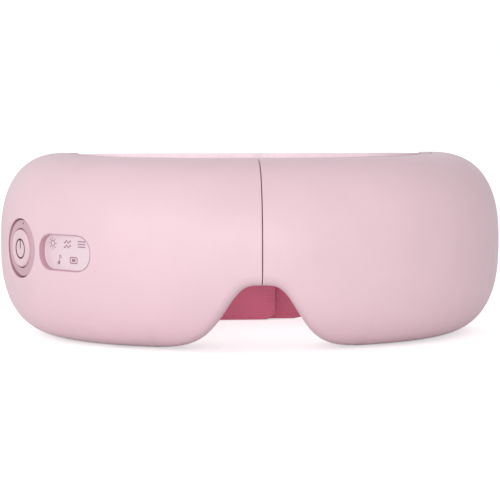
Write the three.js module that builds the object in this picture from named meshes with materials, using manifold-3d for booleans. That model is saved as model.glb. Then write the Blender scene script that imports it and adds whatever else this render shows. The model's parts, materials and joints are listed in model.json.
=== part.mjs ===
/**
 * Eye massager mask: two curved housings that fold about a two-pin centre hinge, each with an
 * air bag, a heating film, a vibration motor and a speaker behind a soft cushion, and an elastic
 * hook-and-loop strap. The controls are on the left housing; the battery, the air pump and the
 * relief valve are in the right one. "Left" is -X.
 *
 * Millimetres, +Z up. The front faces -Y, and the mask stands on the flat lower rims of its two
 * housings. Depths are measured inwards (towards the wearer) from the front surface.
 */
import * as THREE from 'three';
import { mergeVertices } from 'three/addons/utils/BufferGeometryUtils.js';
import Module from 'manifold-3d';

const wasm = await Module();
wasm.setup();

// ---- Driving dimensions -------------------------------------------------------------------

const WIDTH = 200;
const PLAN_DEPTH = 80.1; // from the foremost point to where the sides run straight back
const PLAN_POWER = 2.28; // superellipse power of the plan
const HEIGHT = 71.4; // of the hard housing
const CROWN_DEPTH = 26.8; // from the front surface back to the rim
const CROWN_POWER = 2.55; // superellipse power of the upright section
const TEMPLE_EXTENSION = 7; // straight run behind the curved plan
const TEMPLE_ROUNDING = 8;
const WALL = 2.2;
const SLIT = 0.6; // between the two housings
const GAP = 0.3; // between parts that rest on each other

const NOTCH_HEIGHT = 25.9; // nose notch, highest point
const NOTCH_FOOT = 1; // how far the bell curve of the notch runs below the rim
const NOTCH_HALF_WIDTH = 15.65; // where the bell is at half its height
const NOTCH_POWER = 3.55;

const BACK_PLATE = 2; // rear shell thickness
const BACK_LIP = 2; // rim that stands up round the rear shell
const LINER_TOP = 73.3; // the soft liner stands a little above the housing over the nose
const LINER_FALL = 0.031; // how fast its top drops towards the temples
const LINER_THICK_EYE = 9.6;
const LINER_THICK_TEMPLE = 4.2;
const BRIDGE_HALF = 6.2; // half width of the pad over the nose
const CUSHION_START = 8.1; // plan position where each eye cushion begins, clear of that pad

const PIN_X = 4.4; // each hinge pin from the middle
const PIN_RADIUS = 1.5;
const LINK_LOW = 40;
const LINK_HIGH = 58;
const LINK_RADIUS = 3.6;
const KNUCKLE = 5; // height of each housing knuckle, above and below the link

const BUTTON_X = 91; // plan position of the power button on the left side
const CONTROL_Z = 36.7;
const BUTTON_RADIUS = 7.2;
const DISH_RADIUS = 11.4;
const BUTTON_TRAVEL = 0.6;
const WINDOW_X = 73.8;
const WINDOW_LENGTH = 25.2;
const WINDOW_HEIGHT = 13.6;
const WINDOW_CORNER = 6.2;
const WINDOW_DEPTH = 2;

const STRAP_WIDTH = 40;
const STRAP_THICK = 1.4;
const STRAP_X = 80; // where each end of the strap leaves its housing
const STRAP_BACK = 104; // how far back the strap hangs, from the foremost point
const STRAP_DROP = 14.6; // how far its middle hangs below its ends
const STRAP_POWER = 2.4;
const STRAP_LAP = 12; // free end of the inner strap past the middle
const STRAP_TAIL = 30; // free end of the outer strap past the middle
const PATCH_THICK = 0.6;

const TEMPLE_END = PLAN_DEPTH + TEMPLE_EXTENSION;
const MID = HEIGHT / 2;
const BACK_FRONT = CROWN_DEPTH + GAP;
const BACK_REAR = BACK_FRONT + BACK_PLATE + BACK_LIP;
const PIN_Y = BACK_REAR - (PIN_X - SLIT / 2); // as far from the rear face as from the slit
const LINER_FRONT = BACK_REAR + GAP;
const LINK_REST = 0.35; // clearance above and below the link

// Inner parts: plan position, height and depth of each middle.
const SPEAKER_X = 98.3;
const AIR_INLET_X = 30;
const AIR_INLET_Z = 18;
const MOTOR_X = 33;
const MOTOR_Z = 60;
const MOTOR_DEPTH = 14.5;
const USB_X = 60;
const USB_DEPTH = 20.4;
const PUMP_X = 80;
const PUMP_DEPTH = 14.7;
const PUMP_RADIUS = 8.5;
const VALVE_X = 65.5;
const VALVE_DEPTH = 21.3;
const BATTERY_X = 42;
const BOARD_X = 48;

// ---- Solids -------------------------------------------------------------------------------

/** Keeps a geometry's positions only, with shared vertices merged. */
function bare(geometry) {
  geometry.deleteAttribute('normal');
  geometry.deleteAttribute('uv');
  return mergeVertices(geometry, 1e-4);
}

function toManifold(geometry) {
  const merged = bare(geometry.clone());
  return new wasm.Manifold(new wasm.Mesh({
    numProp: 3,
    vertProperties: new Float32Array(merged.attributes.position.array),
    triVerts: new Uint32Array(merged.index.array),
  }));
}

function toGeometry(manifold) {
  const mesh = manifold.getMesh();
  const geometry = new THREE.BufferGeometry();
  geometry.setAttribute('position', new THREE.BufferAttribute(mesh.vertProperties, 3));
  geometry.setIndex(new THREE.BufferAttribute(mesh.triVerts, 1));
  return geometry;
}

function join(...geometries) {
  return toGeometry(geometries.map(toManifold).reduce((sum, next) => sum.add(next)));
}

function cut(geometry, ...cutters) {
  const start = toManifold(geometry);
  return toGeometry(cutters.map(toManifold).reduce((rest, next) => rest.subtract(next), start));
}

function common(geometry, other) {
  return toGeometry(toManifold(geometry).intersect(toManifold(other)));
}

/** Skins a closed solid over rings of points, each ring convex, with flat ends. */
function skin(rings) {
  const count = rings[0].length;
  const points = rings.flat();
  const faces = [];
  for (let i = 0; i + 1 < rings.length; i += 1) {
    for (let j = 0; j < count; j += 1) {
      const a = i * count + j;
      const b = i * count + ((j + 1) % count);
      faces.push(a, b, b + count, a, b + count, a + count);
    }
  }
  const last = (rings.length - 1) * count;
  for (let j = 1; j + 1 < count; j += 1) {
    faces.push(0, j + 1, j, last, last + j, last + j + 1);
  }
  const geometry = new THREE.BufferGeometry().setFromPoints(points);
  geometry.setIndex(signedVolume(points, faces) < 0 ? faces.reverse() : faces);
  return geometry;
}

function signedVolume(points, faces) {
  let sum = 0;
  const cross = new THREE.Vector3();
  for (let i = 0; i < faces.length; i += 3) {
    cross.crossVectors(points[faces[i + 1]], points[faces[i + 2]]);
    sum += points[faces[i]].dot(cross);
  }
  return sum;
}

/** A box from its lowest and highest corners. */
function block(low, high) {
  const size = high.map((value, i) => value - low[i]);
  const geometry = new THREE.BoxGeometry(...size);
  return geometry.translate(...low.map((value, i) => value + size[i] / 2));
}

/** A cylinder along an axis ('x', 'y' or 'z') from one position to another on it. */
function rod(axis, radius, from, to, centre = [0, 0], sides = 16) {
  const geometry = new THREE.CylinderGeometry(radius, radius, to - from, sides);
  const middle = (from + to) / 2;
  if (axis === 'x') {
    geometry.rotateZ(Math.PI / 2).translate(middle, centre[0], centre[1]);
  } else if (axis === 'y') {
    geometry.translate(centre[0], middle, centre[1]);
  } else {
    geometry.rotateX(Math.PI / 2).translate(centre[0], centre[1], middle);
  }
  return geometry;
}

/** A solid of revolution about the local Y axis; profile is a list of [radius, y]. */
function turned(profile, sides = 24) {
  return new THREE.LatheGeometry(profile.map(([r, y]) => new THREE.Vector2(r, y)), sides);
}

/** An upright plate with rounded corners, its length along X and its thickness along Y. */
function roundedPlate(length, height, corner, from, to) {
  const x = length / 2 - corner;
  const z = height / 2 - corner;
  const shape = new THREE.Shape();
  shape.absarc(x, z, corner, 0, Math.PI / 2);
  shape.absarc(-x, z, corner, Math.PI / 2, Math.PI);
  shape.absarc(-x, -z, corner, Math.PI, 1.5 * Math.PI);
  shape.absarc(x, -z, corner, 1.5 * Math.PI, 2 * Math.PI);
  const options = { depth: to - from, bevelEnabled: false, curveSegments: 5 };
  return new THREE.ExtrudeGeometry(shape, options).rotateX(Math.PI / 2).translate(0, to, 0);
}

/** A round hose through the given points. */
function hose(points, radius, steps) {
  const section = new THREE.Shape().absarc(0, 0, radius, 0, 2 * Math.PI);
  const path = new THREE.CatmullRomCurve3(points.map((p) => new THREE.Vector3(...p)));
  const options = { extrudePath: path, steps, bevelEnabled: false, curveSegments: 4 };
  return new THREE.ExtrudeGeometry(section, options);
}

// ---- The curved plan ----------------------------------------------------------------------

/** The plan at a half-width x, 0 to WIDTH / 2, with the angle that its inward normal turns. */
function planAt(x) {
  const share = Math.min(1, x / (WIDTH / 2));
  const rest = (1 - share ** PLAN_POWER) ** (1 / PLAN_POWER);
  const across = share ** (PLAN_POWER - 1) / (WIDTH / 2);
  const along = rest ** (PLAN_POWER - 1) / PLAN_DEPTH;
  return { x, y: PLAN_DEPTH * (1 - rest), turn: Math.atan2(across, along) };
}

/** How far the temple end's rounding draws the surface in, at a place y along the plan. */
function endInset(y, rounding = TEMPLE_ROUNDING, end = TEMPLE_END) {
  const missing = rounding - (end - y);
  return missing > 0 ? rounding - Math.sqrt(Math.max(0, rounding ** 2 - missing ** 2)) : 0;
}

/** Plan stations from a half-width to the temple end, evenly spaced in the curve's angle. */
function stations(fromX, toY = TEMPLE_END, steps = 12, tail = [0, 0.4, 0.75, 0.95, 1]) {
  const angle = Math.asin((fromX / (WIDTH / 2)) ** (PLAN_POWER / 2));
  const list = [];
  for (let i = 0; i < steps; i += 1) {
    const t = angle + ((Math.PI / 2 - angle) * i) / steps;
    list.push(planAt((WIDTH / 2) * Math.sin(t) ** (2 / PLAN_POWER)));
  }
  tail.forEach((share) => {
    list.push({ x: WIDTH / 2, y: PLAN_DEPTH + share * (toY - PLAN_DEPTH), turn: Math.PI / 2 });
  });
  return list;
}

/** The point at a depth and a height at a plan station; side is -1 for left and 1 for right. */
function inside(side, station, depth, z) {
  const x = station.x - depth * Math.sin(station.turn);
  return new THREE.Vector3(side * x, station.y + depth * Math.cos(station.turn), z);
}

/** Skins a solid along the plan; section(station) gives its outline as [depth, z] pairs. */
function sweep(side, list, section) {
  return skin(list.map((station) => (
    section(station).map(([depth, z]) => inside(side, station, depth, z)))));
}

/** Half a superellipse from its top to its foot: shares of the depth and of the half height. */
function crownOutline(power, steps = 10) {
  const outline = [];
  for (let j = 0; j <= steps; j += 1) {
    const angle = Math.PI * (0.5 - j / steps);
    const height = Math.sign(Math.sin(angle)) * Math.abs(Math.sin(angle)) ** (2 / power);
    outline.push([Math.abs(Math.cos(angle)) ** (2 / power), height]);
  }
  return outline;
}

/** A group at a plan position: local +Y points inwards, local Y is the depth, Z is up. */
function seat(side, x, z = 0) {
  const station = planAt(x);
  const group = new THREE.Group();
  group.position.set(side * station.x, station.y, z);
  group.rotation.z = side * station.turn;
  group.updateMatrixWorld(true);
  return group;
}

/** The plan position that lies a distance u along the curve from a position x. */
function alongPlan(x, u) {
  const steps = 12;
  let place = x;
  for (let i = 0; i < steps; i += 1) {
    place += (u / steps) * Math.cos(planAt(place).turn);
  }
  return planAt(place);
}

/** A plate with rounded corners that follows the curve of the plan, between two depths. */
function bentPlate(side, x, z, length, height, corner, from, to) {
  const columns = [];
  for (let i = 0; i <= 4; i += 1) {
    const angle = (Math.PI / 8) * i;
    columns.push([length / 2 - corner * (1 - Math.sin(angle)), corner * (1 - Math.cos(angle))]);
  }
  const left = columns.map(([u, drop]) => [-u, drop]).reverse();
  return sweep(side, [...left, ...columns].map(([u, drop]) => {
    return { ...alongPlan(x, u), reach: Math.max(height / 2 - drop, 0.3) };
  }), ({ reach }) => [[from, z + reach], [to, z + reach], [to, z - reach], [from, z - reach]]);
}

/** Moves a geometry made at a seat into the mask's own frame. */
function seated(geometry, group) {
  return geometry.applyMatrix4(group.matrixWorld);
}

/** Height of the nose notch at x, kept back by a margin along the curve's normal. */
function notchOutline(margin) {
  const reach = 42;
  const outline = [];
  for (let x = -reach; x <= reach; x += 3) {
    const ratio = (Math.abs(x) / NOTCH_HALF_WIDTH) ** NOTCH_POWER;
    const bell = (NOTCH_HEIGHT + NOTCH_FOOT) / (1 + ratio);
    const slope = x === 0 ? 0 : (-bell * NOTCH_POWER * ratio) / ((1 + ratio) * x);
    const length = Math.hypot(1, slope);
    outline.push([x - (margin * slope) / length, bell - NOTCH_FOOT + margin / length]);
  }
  return outline;
}

/** The space of the nose notch as a block through the whole mask. */
function notchSpace(margin) {
  const outline = notchOutline(margin);
  const edge = outline[0][0];
  const shape = new THREE.Shape();
  shape.moveTo(edge, -5);
  outline.forEach(([x, z]) => shape.lineTo(x, z));
  shape.lineTo(-edge, -5);
  const options = { depth: 70, bevelEnabled: false };
  return new THREE.ExtrudeGeometry(shape, options).rotateX(Math.PI / 2).translate(0, 60, 0);
}

// ---- Materials ----------------------------------------------------------------------------

function material(color, roughness, metalness = 0) {
  return new THREE.MeshStandardMaterial({ color, roughness, metalness });
}

const finish = {
  shell: () => material(0xedd0d8, 0.42),
  backShell: () => material(0xe6c6cf, 0.5),
  button: () => material(0xefd3db, 0.35),
  trim: () => material(0xd6b7bf, 0.4),
  lens: () => material(0xdebfc7, 0.2),
  cushion: () => material(0xf2dbe3, 0.7),
  strap: () => material(0xae5b6d, 0.9),
  hook: () => material(0x8f4658, 0.95),
  steel: () => material(0xb9bcc0, 0.35, 1),
  black: () => material(0x25262a, 0.6),
  white: () => material(0xe9e9e6, 0.55),
  rubber: () => material(0xdad7d2, 0.7),
  board: () => material(0x1f6b45, 0.5),
  film: () => material(0xc98a3a, 0.4),
  foil: () => material(0x9aa7b8, 0.45, 0.6),
  brass: () => material(0xb79a5b, 0.35, 1),
};

const mask = new THREE.Group();

function add(name, geometry, look, parent = mask) {
  const mesh = new THREE.Mesh(bare(geometry), look());
  mesh.name = name;
  parent.add(mesh);
  return mesh;
}

// ---- Housings -----------------------------------------------------------------------------

/** The outer body of one housing, or its hollow, as a solid. */
function crownBody(side, wall) {
  const start = SLIT / 2 + wall * 0.9;
  const end = TEMPLE_END - wall;
  const rounding = TEMPLE_ROUNDING - wall;
  const outline = crownOutline(CROWN_POWER);
  const rear = wall > 0 ? CROWN_DEPTH + 1 : CROWN_DEPTH;
  return sweep(side, stations(start, end), (station) => {
    const inset = wall + endInset(station.y, rounding, end);
    return outline.map(([share, height]) => [
      rear - (rear - inset) * share, MID + (MID - inset) * height]);
  });
}

const SCREW_PLACES = [[21, 63.5], [40, 9], [70, 63.5], [86, 9.5]];
const BOSS_RADIUS = 2.9;
const SCREW_RADIUS = 1;
const SCREW_TIP = 17; // depth of a screw's point
const HEAD_RADIUS = 2.2;
const HEAD_FRONT = BACK_FRONT + 1.1;
const HOSE_RADIUS = 1.3;
const LEAF_REACH = 14.4; // half width that the hinge leaves reach
const HINGE_POCKET = 9.6; // half width of the space for the hinge
const POCKET_FRONT = PIN_Y - 4.5;
const POCKET_LOW = LINK_LOW - KNUCKLE - 1.4;
const POCKET_HIGH = LINK_HIGH + KNUCKLE + 1.4;
const CROSSING_Z = 66.8; // hose and cable cross between the housings above the hinge
const HOSE_DEPTH = 24.2;
const CABLE_DEPTH = 20.5;

function hingePocket() {
  return block([-HINGE_POCKET, POCKET_FRONT, POCKET_LOW], [HINGE_POCKET, 40, POCKET_HIGH]);
}

function strapSlot(side, from, to) {
  const half = STRAP_WIDTH / 2 + 1.2;
  return block([side * STRAP_X - 1.5, from, MID - half], [side * STRAP_X + 1.5, to, MID + half]);
}

function screwBoss(side, x, z, outer) {
  const post = seated(rod('y', BOSS_RADIUS, 1, CROWN_DEPTH - 0.1, [0, z], 10), seat(side, x));
  return common(post, outer);
}

function frontShell(side) {
  const outer = crownBody(side, 0);
  const hollow = cut(crownBody(side, WALL), notchSpace(WALL));
  const shell = cut(outer, notchSpace(0), hollow);
  const bosses = SCREW_PLACES.map(([x, z]) => screwBoss(side, x, z, outer));
  const bores = SCREW_PLACES.map(([x, z]) => (
    seated(rod('y', SCREW_RADIUS + 0.25, SCREW_TIP - 2, 30, [0, z], 8), seat(side, x))));
  const crossing = [
    rod('x', HOSE_RADIUS + 0.5, -4, 4, [HOSE_DEPTH, CROSSING_Z], 10),
    block([-4, CABLE_DEPTH - 0.8, CROSSING_Z - 3.4], [4, CABLE_DEPTH + 0.8, CROSSING_Z + 1.4]),
  ];
  const openings = [hingePocket(), strapSlot(side, TEMPLE_END - 4, TEMPLE_END + 2), ...crossing];
  return cut(join(shell, ...bosses), ...bores, ...openings);
}

/** How far back the rear shell reaches: near the slit it is rounded about the hinge pin. */
function backReach(x) {
  const radius = PIN_X - SLIT / 2;
  const across = Math.max(0, PIN_X - x);
  return across > 0 ? PIN_Y + Math.sqrt(Math.max(0, radius ** 2 - across ** 2)) : BACK_REAR;
}

function rearShell(side) {
  const corner = [SLIT / 2, 1, 2, 3.2].map(planAt);
  const body = sweep(side, [...corner, ...stations(PIN_X)], (station) => {
    const inset = endInset(station.y);
    const rear = Math.max(backReach(station.x), BACK_FRONT + 0.4);
    return [[BACK_FRONT, HEIGHT - inset], [rear, HEIGHT - inset], [rear, inset],
      [BACK_FRONT, inset]];
  });
  const tray = sweep(side, stations(HINGE_POCKET + 1, TEMPLE_END - 2.5), (station) => {
    const inset = 2.6 + endInset(station.y + 2.5);
    const floor = BACK_FRONT + BACK_PLATE;
    return [[floor, HEIGHT - inset], [BACK_REAR + 1, HEIGHT - inset], [BACK_REAR + 1, inset],
      [floor, inset]];
  });
  const holes = SCREW_PLACES.flatMap(([x, z]) => [
    seated(rod('y', SCREW_RADIUS + 0.35, 24, 32, [0, z], 8), seat(side, x)),
    seated(rod('y', HEAD_RADIUS + 0.45, HEAD_FRONT - 0.15, 32, [0, z], 10), seat(side, x)),
  ]);
  const sound = [[0, 0], [4, 4], [-4, 4], [-4, -4], [4, -4]].map(([u, w]) => (
    seated(rod('y', 1.3, 24, 32, [u, MID + w], 6), seat(side, SPEAKER_X))));
  const nipple = seated(rod('y', 2.2, 24, 32, [0, AIR_INLET_Z], 10), seat(side, AIR_INLET_X));
  return cut(body, notchSpace(0), cut(tray, notchSpace(2.6)), hingePocket(), nipple, ...holes,
    ...sound);
}

// ---- Soft parts behind the housings ---------------------------------------------------------

function linerThickness(y) {
  const share = THREE.MathUtils.smoothstep(y, 20, 78);
  return THREE.MathUtils.lerp(LINER_THICK_EYE, LINER_THICK_TEMPLE, share);
}

function linerSection(station) {
  const inset = endInset(station.y);
  const low = 0.5 + inset;
  const half = (LINER_TOP - LINER_FALL * station.y - inset - low) / 2;
  return crownOutline(3.6, 8).map(([share, height]) => [
    LINER_FRONT + Math.max(1.2, linerThickness(station.y) - inset / 2) * share,
    low + half + half * height]);
}

function cushion(side) {
  return cut(sweep(side, stations(CUSHION_START, TEMPLE_END - 0.4), linerSection),
    notchSpace(1.4));
}

function bridgePad() {
  const ends = [-BRIDGE_HALF, BRIDGE_HALF].map((x) => ({ x, y: 0, turn: 0 }));
  return cut(sweep(1, ends, linerSection), notchSpace(1.4));
}

/** A thin sheet that lies along the rear shell over the eye. */
function eyeSheet(side, front, rear, low, high) {
  const list = [15, 24, 33, 42, 51, 60, 68].map(planAt);
  return sweep(side, list, () => [[front, high], [rear, high], [rear, low], [front, low]]);
}

// ---- Strap ----------------------------------------------------------------------------------

const SLOT_Y = TEMPLE_END + 0.6; // where the hanging strap starts, just outside the slot

/** The strap's centre line at half-width x: how far back it is, and how far it hangs down. */
function strapAt(x) {
  const share = Math.min(1, x / STRAP_X);
  const back = (1 - share ** STRAP_POWER) ** (1 / STRAP_POWER);
  return {
    y: SLOT_Y + (STRAP_BACK - SLOT_Y) * back,
    drop: STRAP_DROP * THREE.MathUtils.smoothstep(1 - share, 0, 0.85),
  };
}

/** A length of strap between two x positions, set back by a layer and with its own half width. */
function strapLength(fromX, toX, layer, thick, half, steps) {
  const rings = [];
  for (let i = 0; i <= steps; i += 1) {
    const x = fromX + ((toX - fromX) * i) / steps;
    const here = strapAt(Math.abs(x));
    const next = strapAt(Math.abs(x + 0.01));
    const normal = new THREE.Vector2(-(next.y - here.y) / 0.01, 1).normalize();
    const z = MID - here.drop;
    rings.push([[0, -half], [thick, -half], [thick, half], [0, half]].map(([depth, up]) => (
      new THREE.Vector3(x + normal.x * (layer + depth), here.y + normal.y * (layer + depth),
        z + up))));
  }
  return skin(rings);
}

/** The curve from the slot to where the strap runs nearly straight, by its angle. */
function strapArm(side, endX, layer, thick) {
  const rings = [];
  const endAngle = Math.asin((endX / STRAP_X) ** (STRAP_POWER / 2));
  const steps = 14;
  const half = STRAP_WIDTH / 2;
  for (let i = 0; i <= steps; i += 1) {
    const angle = Math.PI / 2 + ((endAngle - Math.PI / 2) * i) / steps;
    const x = STRAP_X * Math.sin(angle) ** (2 / STRAP_POWER);
    const here = strapAt(x);
    const across = (x / STRAP_X) ** (STRAP_POWER - 1) / STRAP_X;
    const reach = STRAP_BACK - SLOT_Y;
    const along = ((here.y - SLOT_Y) / reach) ** (STRAP_POWER - 1) / reach;
    const length = Math.hypot(across, along);
    const offset = layer * (1 - x / STRAP_X);
    rings.push([[0, -half], [thick, -half], [thick, half], [0, half]].map(([depth, up]) => (
      new THREE.Vector3(side * (x + ((offset + depth - thick / 2) * across) / length),
        here.y + ((offset + depth - thick / 2) * along) / length, MID - here.drop + up))));
  }
  return skin(rings);
}

// ---- Centre hinge ---------------------------------------------------------------------------

function hingeLink() {
  const bar = block([-PIN_X, PIN_Y - LINK_RADIUS, LINK_LOW], [PIN_X, PIN_Y + LINK_RADIUS, LINK_HIGH]);
  const ends = [-PIN_X, PIN_X].map((x) => rod('z', LINK_RADIUS, LINK_LOW, LINK_HIGH, [x, PIN_Y]));
  const bores = [-PIN_X, PIN_X].map((x) => (
    rod('z', PIN_RADIUS + 0.1, LINK_LOW - 1, LINK_HIGH + 1, [x, PIN_Y])));
  return cut(join(bar, ...ends), ...bores);
}

function hingeLeaf(side) {
  const knuckles = [[LINK_LOW - KNUCKLE, LINK_LOW - LINK_REST],
    [LINK_HIGH + LINK_REST, LINK_HIGH + KNUCKLE]];
  const x = side * PIN_X;
  const plateX = [x, side * LEAF_REACH].sort((a, b) => a - b);
  const low = LINK_LOW - KNUCKLE;
  const high = LINK_HIGH + KNUCKLE;
  const plate = block([plateX[0], PIN_Y - 3.3, low], [plateX[1], PIN_Y - 1.8, high]);
  const window = rod('z', LINK_RADIUS + 0.6, LINK_LOW - LINK_REST, LINK_HIGH + LINK_REST,
    [x, PIN_Y], 16);
  const eyes = knuckles.map(([from, to]) => rod('z', 3.3, from, to, [x, PIN_Y]));
  const bore = rod('z', PIN_RADIUS + 0.1, low - 1, high + 1, [x, PIN_Y]);
  return cut(join(cut(plate, window), ...eyes), bore);
}

add('hinge_link', hingeLink(), finish.steel);
[['hinge_pin_left', -1], ['hinge_pin_right', 1]].forEach(([name, side]) => {
  const low = LINK_LOW - KNUCKLE - 0.6;
  const high = LINK_HIGH + KNUCKLE + 0.6;
  add(name, rod('z', PIN_RADIUS, low, high, [side * PIN_X, PIN_Y]), finish.steel);
});
add('nose_bridge_pad', bridgePad(), finish.cushion);
add('air_hose_crossing', rod('x', HOSE_RADIUS, -7.6, 7.6, [HOSE_DEPTH, CROSSING_Z], 10), finish.rubber);
add('ribbon_cable_crossing', block([-9, CABLE_DEPTH - 0.3, CROSSING_Z - 3],
  [9, CABLE_DEPTH + 0.3, CROSSING_Z + 1]), finish.film);

// ---- What both housings have ----------------------------------------------------------------

[['left', -1], ['right', 1]].forEach(([word, side]) => {
  if (side > 0) {
    add('right_front_shell', frontShell(side), finish.shell);
  }
  add(`${word}_rear_shell`, rearShell(side), finish.backShell);
  add(`${word}_hinge_leaf`, hingeLeaf(side), finish.steel);
  add(`${word}_eye_cushion`, cushion(side), finish.cushion);
  const tray = BACK_FRONT + BACK_PLATE;
  add(`${word}_air_bag`, eyeSheet(side, tray + 0.6, tray + 1.35, 27, 61), finish.rubber);
  add(`${word}_heating_film`, eyeSheet(side, tray + 1.6, tray + 1.95, 28, 60), finish.film);

  const head = HEAD_FRONT + 0.9;
  const profile = [[0, SCREW_TIP], [SCREW_RADIUS, SCREW_TIP + 1.5], [SCREW_RADIUS, HEAD_FRONT],
    [HEAD_RADIUS, HEAD_FRONT], [HEAD_RADIUS, head], [0, head]];
  SCREW_PLACES.forEach(([x, z], i) => {
    const place = seat(side, x, z);
    mask.add(place);
    add(`${word}_shell_screw_${i + 1}`, turned(profile, 8), finish.steel, place);
  });

  const speaker = seat(side, SPEAKER_X, MID);
  mask.add(speaker);
  add(`${word}_speaker`, turned([[0, 19.5], [8.5, 19.5], [8.5, 22], [9.5, 22], [9.5, 24.5], [0, 24.5]],
    20), finish.black, speaker);

  const motor = seat(side, MOTOR_X, MOTOR_Z);
  mask.add(motor);
  const [inner, outer] = [-7 * side, 5 * side].sort((a, b) => a - b);
  add(`${word}_vibration_motor`, rod('x', 3.4, inner, outer, [MOTOR_DEPTH, 0], 14), finish.steel,
    motor);
  const [near, far] = [5.6 * side, 9.6 * side].sort((a, b) => a - b);
  const weight = cut(rod('x', 3, near, far, [MOTOR_DEPTH, 0], 16),
    block([near - 1, MOTOR_DEPTH - 4, 0.9], [far + 1, MOTOR_DEPTH + 4, 5]));
  add(`${word}_motor_weight`, weight, finish.brass, motor);

  add(`${word}_strap_clamp`, block([side * STRAP_X - 2.4, TEMPLE_END - 11, MID - 22],
    [side * STRAP_X + 2.4, TEMPLE_END - 7.6, MID + 22]), finish.black);
  add(`strap_${word}_root`, block([side * STRAP_X - STRAP_THICK / 2, TEMPLE_END - 7.3,
    MID - STRAP_WIDTH / 2], [side * STRAP_X + STRAP_THICK / 2, TEMPLE_END + 0.3,
    MID + STRAP_WIDTH / 2]), finish.strap);
});

// ---- Controls, on the left housing ----------------------------------------------------------

const BUTTON_FACE = 0.55; // depth of the button's face below the highest point of the shell
const RING_FACE = 1.1; // inner edge of the dish round the button; its outer edge is lower
const CUP_DEPTH = 5.6;

function leftFrontShell() {
  const button = seat(-1, BUTTON_X, CONTROL_Z);
  const socket = seat(-1, USB_X);
  const outer = crownBody(-1, 0);
  const cup = common(seated(rod('y', DISH_RADIUS + 1.1, -2, CUP_DEPTH, [0, 0], 24), button), outer);
  const windowBlock = (margin, from, to) => bentPlate(-1, WINDOW_X, CONTROL_Z,
    WINDOW_LENGTH + margin, WINDOW_HEIGHT + margin, WINDOW_CORNER + margin / 2, from, to);
  const frame = common(windowBlock(1.8, -2, 5), outer);
  const dish = seated(rod('y', DISH_RADIUS, -4, 4.4, [0, 0], 24), button);
  const stem = seated(rod('y', BUTTON_RADIUS + 0.4, -4, CUP_DEPTH + 4, [0, 0], 24), button);
  const recess = windowBlock(0, -4, WINDOW_DEPTH + 2.1);
  const light = windowBlock(-4, -4, 12);
  const port = seated(block([-4.7, USB_DEPTH - 1.8, -3], [4.7, USB_DEPTH + 1.8, 6]), socket);
  return cut(join(frontShell(-1), cup, frame), dish, stem, recess, light, port);
}

function ringProfile() {
  const inner = BUTTON_RADIUS + 0.4;
  const outer = DISH_RADIUS - GAP;
  return [[inner, RING_FACE], [outer, RING_FACE + 0.35], [outer, 4.1], [inner, 4.1],
    [inner, RING_FACE]];
}

function buttonProfile() {
  return [[0, BUTTON_FACE], [BUTTON_RADIUS - 0.5, BUTTON_FACE], [BUTTON_RADIUS, BUTTON_FACE + 0.5],
    [BUTTON_RADIUS, 5], [2, 5], [2, 9], [0, 9]];
}

add('left_front_shell', leftFrontShell(), finish.shell);

const buttonSeat = seat(-1, BUTTON_X, CONTROL_Z);
mask.add(buttonSeat);
add('button_trim_ring', turned(ringProfile(), 24), finish.trim, buttonSeat);
add('power_button', turned(buttonProfile(), 24), finish.button, buttonSeat);
const switchFront = 9 + BUTTON_TRAVEL + 0.1;
add('button_switch', block([-3, switchFront, -3], [3, switchFront + 3.4, 3]), finish.black,
  buttonSeat);
add('button_board', block([-9, switchFront + 3.7, -8], [9, switchFront + 4.9, 8]), finish.board,
  buttonSeat);

add('indicator_window', bentPlate(-1, WINDOW_X, CONTROL_Z, WINDOW_LENGTH - 0.6,
  WINDOW_HEIGHT - 0.6, WINDOW_CORNER - 0.3, WINDOW_DEPTH, WINDOW_DEPTH + 1.7), finish.lens);
add('light_guide', bentPlate(-1, WINDOW_X, CONTROL_Z, WINDOW_LENGTH - 5, WINDOW_HEIGHT - 5, 3.5,
  WINDOW_DEPTH + 2.1, 6.4), finish.white);

const windowSeat = seat(-1, WINDOW_X, CONTROL_Z);
mask.add(windowSeat);
add('indicator_board', block([-9.5, 8.2, -6.5], [9.5, 9.4, 6.5]), finish.board, windowSeat);

const boardSeat = seat(-1, BOARD_X, MID);
mask.add(boardSeat);
add('main_board', join(block([-20, 14, -19], [18, 15.6, 19]), block([-8, 15.5, -7], [4, 17.2, 5]),
  block([-17, 15.5, -14], [-11, 19, -4]), block([6, 15.5, 6], [13, 18.5, 13])), finish.board,
boardSeat);

const socketSeat = seat(-1, USB_X);
mask.add(socketSeat);
const socketBody = cut(block([-4.4, USB_DEPTH - 1.5, 0.6], [4.4, USB_DEPTH + 1.5, 8]),
  block([-4, USB_DEPTH - 1.1, 0], [4, USB_DEPTH + 1.1, 6.8]));
add('usb_c_port', join(socketBody, block([-3.2, USB_DEPTH - 0.35, 1.4],
  [3.2, USB_DEPTH + 0.35, 7.2])), finish.steel, socketSeat);

// ---- Power and air, in the right housing ----------------------------------------------------

const batterySeat = seat(1, BATTERY_X, MID + 1);
mask.add(batterySeat);
add('battery', roundedPlate(44, 32, 2.5, 11, 18.5), finish.foil, batterySeat);

const pumpSeat = seat(1, PUMP_X);
mask.add(pumpSeat);
add('pump_motor', rod('z', PUMP_RADIUS - 0.6, 16, 36, [0, PUMP_DEPTH], 20), finish.steel, pumpSeat);
const crankPin = rod('z', 1.2, 42.5, 46, [2.6, PUMP_DEPTH], 12);
add('pump_crank', join(rod('z', 1.5, 36.4, 40.6, [0, PUMP_DEPTH], 12),
  rod('z', 4.5, 40.5, 42.6, [0, PUMP_DEPTH], 16), crankPin), finish.brass, pumpSeat);
add('pump_head', cut(rod('z', PUMP_RADIUS, 38, 56, [0, PUMP_DEPTH], 20),
  rod('z', PUMP_RADIUS - 1.8, 30, 50, [0, PUMP_DEPTH], 20),
  rod('z', 0.9, 45, 60, [0, PUMP_DEPTH], 8)), finish.black, pumpSeat);

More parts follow.
